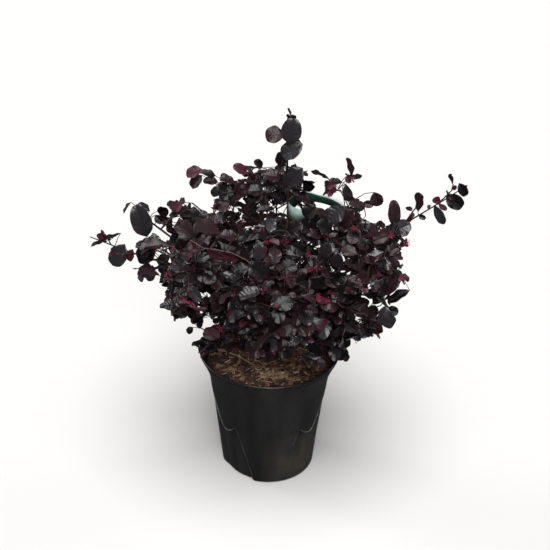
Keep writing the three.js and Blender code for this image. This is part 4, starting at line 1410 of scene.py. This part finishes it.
def dress_shoot(draw, mass, spray):
    """A shoot's bare twigs with small leaves by turns, between the large ones that are placed one by one."""
    for twig in kept_twigs(mass):
        spray.wood.add(*tube(*twig, TWIG_SIDES), BROWN_TWIG)
        for i in range(SHOOT_NODES):
            point, _, direction = point_along(twig, i / SHOOT_NODES)
            spray.nodes.append((point, direction))
        count = max(2, int(line_length(twig.points) / SHOOT_LEAF["spacing"]))
        for i in range(count):
            point, _, direction = point_along(twig, SHOOT_LEAF["first"] + SHOOT_LEAF["range"] * i / count)
            size = LEAF["length"] * at_least(draw, *SHOOT_LEAF_SIZES)
            slot = YOUNG_SLOT if draw() < SHOOT_LEAF["young"] else pick_top(draw)
            add_leaf(draw, mass, spray, point, direction, by_turns(i), size, slot)
        tip, _, direction = point_along(twig, NEAR_END)
        for side in (0, 1):
            add_leaf(draw, mass, spray, tip, direction, side, LEAF["length"] * SHOOT_LEAF["tip"], YOUNG_SLOT)


# What stands out in the photograph


def add_show_twigs(draw, sprays):
    """The pale twigs that stand out in the photograph, each from the wood nearest to its base."""
    spray = sprays["front"]
    places = np.array([point for point, _ in spray.nodes])
    mass = next(mass for mass in MASSES if mass.name == "front_left")
    for pixels, y in SHOW_TWIGS:
        line = [place_on(pixel, 1, y) for pixel in pixels]
        line.insert(0, places[nearest(places, line[0])])
        spray.wood.add_stick(line, SHOW_TWIG, PALE_TWIG)
        grow_spray(draw, mass, spray, line[1:], PALE_TWIG)


def add_show_leaves(draw, sprays):
    """The leaves that stand out in the photograph, each on a stalk from the wood nearest to its place."""
    wood = [(point, spray) for spray in sprays.values() for point, _ in spray.nodes]
    places = np.array([point for point, _ in wood])
    for base_pixel, tip_pixel, pixels_wide, turn, y, top in SHOW_LEAVES:
        base, tip = place_on(base_pixel, 1, y), place_on(tip_pixel, 1, y - SHOW_LEAF_NEARER)
        start, spray = wood[nearest(places, base)]
        turn = math.radians(turn)
        length = math.dist(base, tip)
        along = (tip - base) / length
        across = unit(np.cross(turned(unit(BACK + SHOW_TILT), along, turn), along))
        wide = pixels_wide * shown_at(base)[1][0] / PHOTO_FOCAL / math.cos(turn)
        fold = math.radians(about(draw, SHOW_LEAF["fold"], SHOW_LEAF["fold_spread"]))
        bend = about(draw, SHOW_LEAF["bend"], SHOW_LEAF["bend_spread"]) * math.cos(turn)
        curl = (fold, bend, spread(draw, SHOW_LEAF["twist"]), SHOW_OWN[0] - SHOW_OWN[1] * draw())
        size = (length * SHOW_LEAF["length"], SHOW_LEAF["width"] * wide / length)
        spray.leaves.append(Leaf(base, along, across, *size, *curl, top, BACK_SLOT))
        middle = (start + base) / 2 + vec(0, 0, math.dist(start, base) * SHOW_STALK_ARCH)
        stalk = [start, middle, base + along * SHOW_STALK_INTO]
        spray.wood.add(*tube(stalk, SHOW_STALK, SHOW_STALK_SIDES), BROWN_TWIG)


def add_seen_blossom(draw, sprays):
    """Tufts of blossom where the photograph shows them, on the nearest place that may flower."""
    nodes = [(point, direction, spray) for spray in sprays.values() for point, direction in spray.nodes]
    pixels, depths = shown_at([point for point, _, _ in nodes])
    for place in BLOSSOM_PIXELS:
        off = np.hypot(*(pixels - np.array(place)).T)
        near = np.where(off < off.min() + SEEN_TUFTS["near"])[0]
        point, direction, spray = nodes[near[int(np.argmin(depths[near]))]]
        for _ in range(SEEN_TUFTS["count"]):
            way = direction + BACK * SEEN_TUFTS["forwards"] + shake(draw, 1)
            add_blossom(draw, spray, point, way)


def make_foliage():
    sprays = {group: Spray() for group in GROUPS}
    for i, mass in enumerate(MASSES):
        draw = seeded(SPRAY_SEED + i)
        (dress_shoot if mass.kind.twigs else dress_mass)(draw, mass, sprays[mass.group])
    draw = seeded(SPRAY_SEED + len(MASSES))
    add_show_twigs(draw, sprays)
    add_show_leaves(draw, sprays)
    add_seen_blossom(draw, sprays)
    for group, spray in sprays.items():
        leaves = leaf_mesh("leaves_" + group, spray.leaves, LEAF_MATERIALS)
        settle(leaves, "foliage", *["foliage_" + mass.name for mass in MASSES if mass.group == group])
        settle(spray.wood.piece("twigs_" + group, TWIG_MATERIALS), "bark")
        settle(spray.blossom.piece("blossom_" + group, PETAL_MATERIALS), "foliage")


# Pot and growing mix


def wall_radius(z):
    """The radius of the pot's wall: straight, then curving out to the lip."""
    start, radius = FLARE_START
    end, end_radius = FLARE_END
    if z <= start:
        return WALL_FOOT + (radius - WALL_FOOT) * z / start
    return radius + (end_radius - radius) * min(1, (z - start) / (end - start)) ** FLARE_CURVE


def flute_edge(z):
    """The place of a flute's steep side."""
    return FLUTE_EDGE[0] + (FLUTE_EDGE[1] - FLUTE_EDGE[0]) * min(1, z / FLUTE_HEIGHT)


def flute_top(place):
    """The height of a flute's top, under a tongue and then under an arch."""
    share = min(1, max(0, (place - TONGUE[0]) / (TONGUE[1] - TONGUE[0])))
    drop = TONGUE_DROP * math.sin(math.pi * share)
    return FLUTE_HEIGHT - drop + ARCH_RISE * smoothstep(place, sum(TONGUE) / 2, QUARTER)


def flute_depth(z, angle):
    """How far the wall is pressed in, for the four flutes at its foot. Each has a steep side towards the
    pot's front or back, and gets shallow towards its left or right, where two of them join under an arch.
    The wall hangs down over it in a tongue. At the front right and the back left it comes out level with
    the foot."""
    index, within = divmod(math.degrees(angle), QUARTER)
    place = within if index % 2 else QUARTER - within
    edge = flute_edge(z)
    across = smoothstep(place, edge, edge + FLUTE_SIDE)
    shallow = (1 - FLUTE_SHALLOW) * smoothstep(place, *FLUTE_FADE)
    foot = smoothstep(z, *FLUTE_FOOT) if index % 2 else 1
    close = smoothstep(flute_top(place) - z, 0, FLUTE_CLOSE)
    return FLUTE_DEPTH * across * (1 - shallow) * foot * close


def make_flute_beads():
    """The bead that runs up each flute's steep side and round its top, where the mould pinched the wall. It
    is coloured paler than the rest, as a painted highlight along the edge."""
    bundle = Bundle()
    for index in range(FLUTES):
        heights = np.linspace(BEAD_STARTS[index % 2], FLUTE_HEIGHT - BEAD["short"], BEAD["rise_rows"])
        places = np.linspace(FLUTE_EDGE[1] + 1, QUARTER, BEAD["round_rows"])
        path = [(flute_edge(z), z) for z in heights] + [(place, flute_top(place)) for place in places]
        line, radii = [], []
        for place, z in path:
            angle = math.radians(index * QUARTER + (place if index % 2 else QUARTER - place))
            line.append(vec(*round_axis(wall_radius(z) - BEAD["sunk"], angle), z))
            thinned = 1 - BEAD_THINNED * smoothstep(place, *BEAD_THINS)
            swell = smoothstep(place, *BEAD_SWELLS) * thinned
            radii.append(BEAD["foot"] + (BEAD["top"] - BEAD["foot"]) * swell)
        radii[0] = BEAD["point"]
        bundle.add(*tube(line, radii, BEAD["sides"]))
    # The beads are coloured pale grey as a painted highlight.
    settle(bundle.piece("pot_flute_beads", [highlight_polyethylene()]), "pot_plastic")


def arc(centre, curve):
    """Points of (radius, height) round a centre."""
    start, end = curve["turn"]
    steps = curve["steps"]
    points = [round_axis(curve["radius"], math.radians(start + (end - start) * t)) for t in shares(steps)]
    return [(centre[0] + x, centre[1] + y) for x, y in points]


def turned_mesh(outline, sides):
    """Points and faces of an outline of (radius, height) turned round the axis, with flutes at its foot."""
    vertices = []
    for radius, z in outline:
        for k in range(sides):
            angle = 2 * math.pi * k / sides
            pressed = flute_depth(z, angle) if radius > FOOT_RADIUS / 2 else 0
            vertices.append((*round_axis(radius - pressed, angle), z))
    return vertices, shell_faces(len(outline), sides)


def mesh_of(name, bm):
    mesh = bpy.data.meshes.new(name)
    bm.to_mesh(mesh)
    bm.free()
    return mesh


def drill(pot, turn):
    """One drain hole through the pot's base."""
    bm = bmesh.new()
    radius = DRAIN["radius"] * MM
    size = dict(radius1=radius, radius2=radius, depth=WALL * DRAIN["cut"] * MM)
    bmesh.ops.create_cone(bm, cap_ends=True, segments=DRAIN["sides"], **size)
    cutter = add_object("drain_cutter", mesh_of("drain_cutter", bm))
    cutter.location = (*round_axis(FOOT_RADIUS * DRAIN["place"] * MM, turn), MM)
    modifier = pot.modifiers.new("drain", "BOOLEAN")
    modifier.operation = "DIFFERENCE"
    modifier.solver = "EXACT"
    modifier.object = cutter
    bpy.context.view_layer.update()
    bpy.context.view_layer.objects.active = pot
    bpy.ops.object.modifier_apply(modifier=modifier.name)
    bpy.data.objects.remove(cutter)


def make_pot():
    wall = [z for rows in WALL_ROWS for z in np.arange(*rows)]
    outline = [(radius, 0.0) for radius in (*BASE_RINGS, FOOT_RADIUS)]
    outline += arc((FOOT_RADIUS + FOOT_ROUND["out"], FOOT_ROUND["radius"]), FOOT_ROUND)[1:]
    outline += [(wall_radius(z), z) for z in wall]
    outline += [(LIP_RADIUS - inwards, POT_HEIGHT - down) for inwards, down in LIP_NECK]
    outline += arc((LIP_RADIUS - LIP_BEAD["inset"], POT_HEIGHT - LIP_BEAD["down"]), LIP_BEAD)
    outline += [(wall_radius(z) - WALL, z) for z in reversed(wall[::2]) if z < INNER_WALL_TOP]
    outline += [(INNER_FOOT, WALL), (BASE_RINGS[0], WALL)]
    pot = piece_from("nursery_pot", *turned_mesh(outline, POT_SIDES), [blown_polyethylene()])
    for i in range(FLUTES):
        drill(pot, math.radians(i * QUARTER + DRAIN["turn"]))
    settle(pot, "pot_plastic", "pot")


def mix_height(x, y):
    """The uneven top of the growing mix."""
    crumbs = [noise.noise(Vector((x / w, y / w, layer))) * height for w, height, layer in MIX_CRUMBS]
    waves = math.sin(x / MIX_WAVES["across"] + MIX_WAVES["start"]) * math.cos(y / MIX_WAVES["along"])
    return MIX_TOP + MIX_ROUGHNESS * (waves - MIX_WAVES["sunk"]) + sum(crumbs)


def make_mix():
    sides, rings = MIX["sides"], MIX["rings"]
    turns = [2 * math.pi * k / sides for k in range(sides)]
    edge = wall_radius(MIX_TOP) - WALL - MIX["gap"]
    vertices = [(0, 0, mix_height(0, 0))]
    for i in range(1, rings + 1):
        fall = MIX["fall"] * (i / rings) ** MIX["fall_curve"]
        for turn in turns:
            x, y = round_axis(edge * i / rings, turn)
            vertices.append((x, y, mix_height(x, y) - fall))
    for z in MIX_LEVELS:
        gap = MIX["side_gap"] if z > MIX_FLUTED else MIX["flute_gap"]
        foot = MIX["foot_gap"] if z < MIX_FOOT else 0
        for turn in turns:
            inset = WALL + gap + flute_depth(z, turn)
            vertices.append((*round_axis(wall_radius(z) - inset - foot, turn), z))
    faces = [(0, 1 + k, 1 + (k + 1) % sides) for k in range(sides)]
    faces += [(a, d, c, b) for a, b, c, d in ring_faces(rings + len(MIX_LEVELS), sides, 1)]
    faces.append(tuple(range(len(vertices) - 1, len(vertices) - 1 - sides, -1)))
    mix = piece_from("growing_mix_body", vertices, faces, [moist_mix()])
    settle(mix, "growing_mix", "growing_mix")


# What lies on the growing mix


def on_mix(pixel):
    """The place on the growing mix that a pixel of the photograph shows."""
    return place_on(pixel, 2, MIX_TOP)[:2]


def random_place(draw, reach):
    radius = reach * math.sqrt(draw())
    return round_axis(radius, 2 * math.pi * draw())


def over_mix(x, y, rise):
    return vec(x, y, mix_height(x, y) + rise)


def level_way(draw):
    return vec(*round_axis(1, 2 * math.pi * draw()), 0)


def make_chips():
    """Chips of pine bark, as angular flattened scraps."""
    draw = seeded(CHIPS["seed"])
    bm = bmesh.new()
    bmesh.ops.create_icosphere(bm, subdivisions=1, radius=1)
    bm.verts.index_update()
    core = np.array([v.co for v in bm.verts])
    faces = [tuple(v.index for v in face.verts) for face in bm.faces]
    bm.free()
    materials = [
        flaked("pine_bark_dark", "#2c1b14", "#503628", 2, 0.88),
        flaked("pine_bark_red", "#5a3426", "#85553e", 2, 0.85),
        flaked("pine_bark_pale", "#7c6048", "#ab8d6d", 2, 0.85),
    ]
    bundle = Bundle()
    for _ in range(CHIPS["count"]):
        x, y = random_place(draw, CHIPS["reach"])
        size = CHIPS["least"] + CHIPS["more"] * draw() ** CHIPS["few_large"]
        scale = vec(*[size * at_least(draw, *side) for side in CHIP_SIDES])
        points = core * scale * (1 + CHIPS["rough"] * np.array([shake(draw, 1) for _ in core]))
        round_z = Matrix.Rotation(2 * math.pi * draw(), 3, "Z")
        turn = round_z @ Matrix.Rotation(spread(draw, CHIPS["lean"]), 3, "X")
        points = points @ np.array(turn).T + over_mix(x, y, size * CHIPS["up"])
        bundle.add(points, faces, int(draw() * len(materials)))
    settle(bundle.piece("bark_chips", materials, smooth=False), "growing_mix")


def make_straw():
    """Shreds of dry straw and wood, in a heap at the front and a few all round."""
    draw = seeded(STRAW["seed"])
    heap_x, heap_y = on_mix(STRAW_HEAP_PIXEL)
    materials = [
        flaked("straw_pale", "#efdcb6", "#fff6e0", 4, 0.75),
        flaked("straw_tan", "#d3ad78", "#f0d2a4", 4, 0.78),
        flaked("straw_brown", "#8b6543", "#b88d62", 4, 0.8),
    ]
    bundle = Bundle()
    for i in range(STRAW["count"]):
        in_heap = i < STRAW_HEAP["count"]
        if in_heap:
            dx, dy = random_place(draw, 1)
            x, y = heap_x + dx * STRAW_HEAP["across"], heap_y + dy * STRAW_HEAP["along"]
            up = STRAW_HEAP["height"] * (1 - min(1, math.hypot(dx, dy))) * draw() + STRAW_HEAP["up"]
        else:
            x, y = random_place(draw, STRAW["reach"])
            up = STRAW["up"]
        if math.hypot(x, y) > STRAW["limit"]:
            continue
        way = unit(level_way(draw) + vec(0, 0, spread(draw, STRAW["lean"])))
        least, more = SHRED["length"]
        length = (least + more * draw() ** SHRED["few_long"]) * (1 if in_heap else LOOSE_STRAW_LONGER)
        line = twig_line(draw, over_mix(x, y, up), way, length, SHRED)
        thick = at_least(draw, *SHRED_THICK)
        radii = taper(len(line), thick, thick * SHRED_TIP)
        bundle.add(*tube(line, radii, SHRED_SIDES, SHRED_FLAT), int(draw() * len(materials)))
    settle(bundle.piece("straw_shreds", materials), "growing_mix")


def make_fallen_leaves():
    """Withered leaves that lie on the mix, pinkish brown and curled."""
    draw = seeded(WITHERED["seed"])
    places = [on_mix(pixel) for pixel in FALLEN_LEAF_PIXELS]
    places += [random_place(draw, WITHERED["reach"]) for _ in range(WITHERED["count"])]
    materials = [
        flaked("withered_leaf_pink", "#8d5a5a", "#b98a86", 4, 0.8),
        flaked("withered_leaf_brown", "#6f4a3a", "#95705a", 4, 0.8),
        flaked("withered_leaf_plum", "#5d3a3f", "#80585a", 4, 0.75),
    ]
    leaves = []
    for x, y in places:
        along = unit(level_way(draw) + vec(0, 0, spread(draw, WITHERED["rise"])))
        face = vec(spread(draw, WITHERED["lean"]), spread(draw, WITHERED["lean"]), 1)
        across = unit(np.cross(face, along))
        length = at_least(draw, *WITHERED["length"])
        fold = math.radians(about(draw, *WITHERED_FOLD))
        bend = about(draw, *WITHERED_BEND)
        slot = int(draw() * len(materials))
        curl = (fold, bend, spread(draw, 1), draw())
        base = over_mix(x, y, WITHERED["up"])
        leaves.append(Leaf(base, along, across, length, WITHERED["width"], *curl, slot, slot))
    settle(leaf_mesh("fallen_leaves", leaves, materials), "foliage")


def make_dead_twigs():
    """The dry twig that lies at the left of the mix, and a few shorter ones."""
    draw = seeded(DEAD_PLACES["seed"])
    bundle = Bundle()
    line = []
    for i, pixel in enumerate(DEAD_TWIG_PIXELS):
        rise = DEAD_TWIG["up"] + DEAD_TWIG["wave"] * math.sin(i * DEAD_TWIG["wave_turn"])
        line.append(vec(*on_mix(pixel), MIX_TOP + rise))
    bundle.add_stick(line, DEAD_TWIG)
    for place in line[1:]:
        for side in (-1, 1):
            way = vec(DEAD_BRANCH_WAY["forwards"], side, DEAD_BRANCH_WAY["upwards"])
            way = unit(way + shake(draw, DEAD_BRANCH_WAY["scatter"]))
            length = at_least(draw, *DEAD_BRANCH["length"])
            bundle.add_stick(twig_line(draw, place, way, length, DEAD_BRANCH), DEAD_BRANCH)
    for _ in range(DEAD_PLACES["count"]):
        start = over_mix(*random_place(draw, DEAD_PLACES["reach"]), DEAD_PLACES["up"])
        way = unit(level_way(draw) + vec(0, 0, DEAD_PLACES["upwards"]))
        line = twig_line(draw, start, way, at_least(draw, *DEAD_BITS["length"]), DEAD_BITS)
        bundle.add_stick(line, DEAD_BITS, int(draw() < 0.5))
    materials = [
        flaked("dead_twig_tan", "#a58b67", "#cdb389", 5, 0.85),
        flaked("dead_twig_brown", "#6c523d", "#937457", 5, 0.85),
    ]
    settle(bundle.piece("dead_twigs", materials), "growing_mix")


# Plant label


def make_label():
    """The strip closed into a loop: pale outside, and green inside under a white margin."""
    turns = np.arange(LABEL_POINTS) * 2 * math.pi / LABEL_POINTS
    at_end = np.array([smoothstep(-math.cos(turn), LABEL_END["start"], 1) for turn in turns])
    half = LABEL["height"] / 2 * (1 + LABEL_END["taller"] * at_end)
    narrow = [smoothstep(math.cos(turn), LABEL_MARGIN["start"], LABEL_MARGIN["full"]) for turn in turns]
    margin = (1 - LABEL_MARGIN["width"] * np.array(narrow)) * half
    out = LABEL["thickness"] / 2
    rows = [(out, -half), (out, half), (-out, half), (-out, margin - LABEL_MARGIN["step"]), (-out, -half)]
    pale, green, white = range(3)
    bands = [pale, pale, white, green, pale]
    vertices = []
    for grow, z in rows:
        ring = label_ring(LABEL_CENTRE, grow, LABEL_POINTS)[:-1]
        ring[:, 2] += z - LABEL_END["drop"] * at_end
        ring[:, 0] += LABEL_END["inwards"] * at_end
        vertices.append(ring)
    points = np.concatenate(vertices)
    faces = [tuple(i % len(points) for i in face) for face in ring_faces(len(rows) + 1, LABEL_POINTS)]
    materials = [
        label_strip("rolled_polypropylene_pale", "#88a59c", "#a9c0b7"),
        label_strip("rolled_polypropylene_green", "#2c5b4c", "#3b6e5d"),
        label_strip("rolled_polypropylene_white", "#eef4f1", "#fbfdfc"),
    ]
    piece = piece_from("plant_label_strip", points, faces, materials, np.repeat(bands, LABEL_POINTS))
    settle(piece, "label_plastic", "plant_label")


# Floor, light and camera


def make_stage():
    bm = bmesh.new()
    bmesh.ops.create_circle(bm, cap_ends=True, segments=FLOOR["sides"], radius=FLOOR["radius"])
    mesh = mesh_of("floor", bm)
    mesh.materials.append(matt_paper())
    floor = add_object("floor", mesh)
    floor.location.z = -FLOOR["down"]
    floor.visible_glossy = False


def add_far_softbox(name, origin, degrees, strength):
    """A softbox so far off that it lights the whole floor alike: it fills so many degrees of the sky."""
    light = bpy.data.lights.new(name, "SUN")
    light.angle = math.radians(degrees)
    light.energy = strength
    add_object(name, light).rotation_euler = Vector(origin).to_track_quat("Z", "Y").to_euler()


def make_light():
    world = bpy.data.worlds.new("studio")
    world.use_nodes = True
    tree = world.node_tree
    background = tree.nodes["Background"]
    background.inputs["Color"].default_value = linear("#ffffff")
    seen = add_node(tree, "ShaderNodeLightPath").outputs["Is Camera Ray"]
    level = between(tree, seen, 0, 1, STUDIO_GLOW, BACKDROP_GLOW)
    tree.links.new(level, background.inputs["Strength"])
    bpy.context.scene.world = world
    for softbox in SOFTBOXES:
        add_far_softbox(*softbox)
    bpy.context.scene.view_settings.view_transform = "Standard"


def make_camera():
    right, up, back = camera_axes()
    data = bpy.data.cameras.new("camera")
    data.sensor_width = SENSOR
    data.lens = PHOTO_FOCAL / PHOTO * SENSOR
    camera = add_object("camera", data)
    place = Matrix.Translation(CAMERA_AIM + back * CAMERA_DISTANCE)
    camera.matrix_world = place @ Matrix((right, up, back)).transposed().to_4x4()
    bpy.context.scene.camera = camera


make_pot()
make_flute_beads()
make_mix()
make_chips()
make_straw()
make_fallen_leaves()
make_dead_twigs()
make_trunk_and_boughs()
make_foliage()
make_label()
make_stage()
make_light()
make_camera()
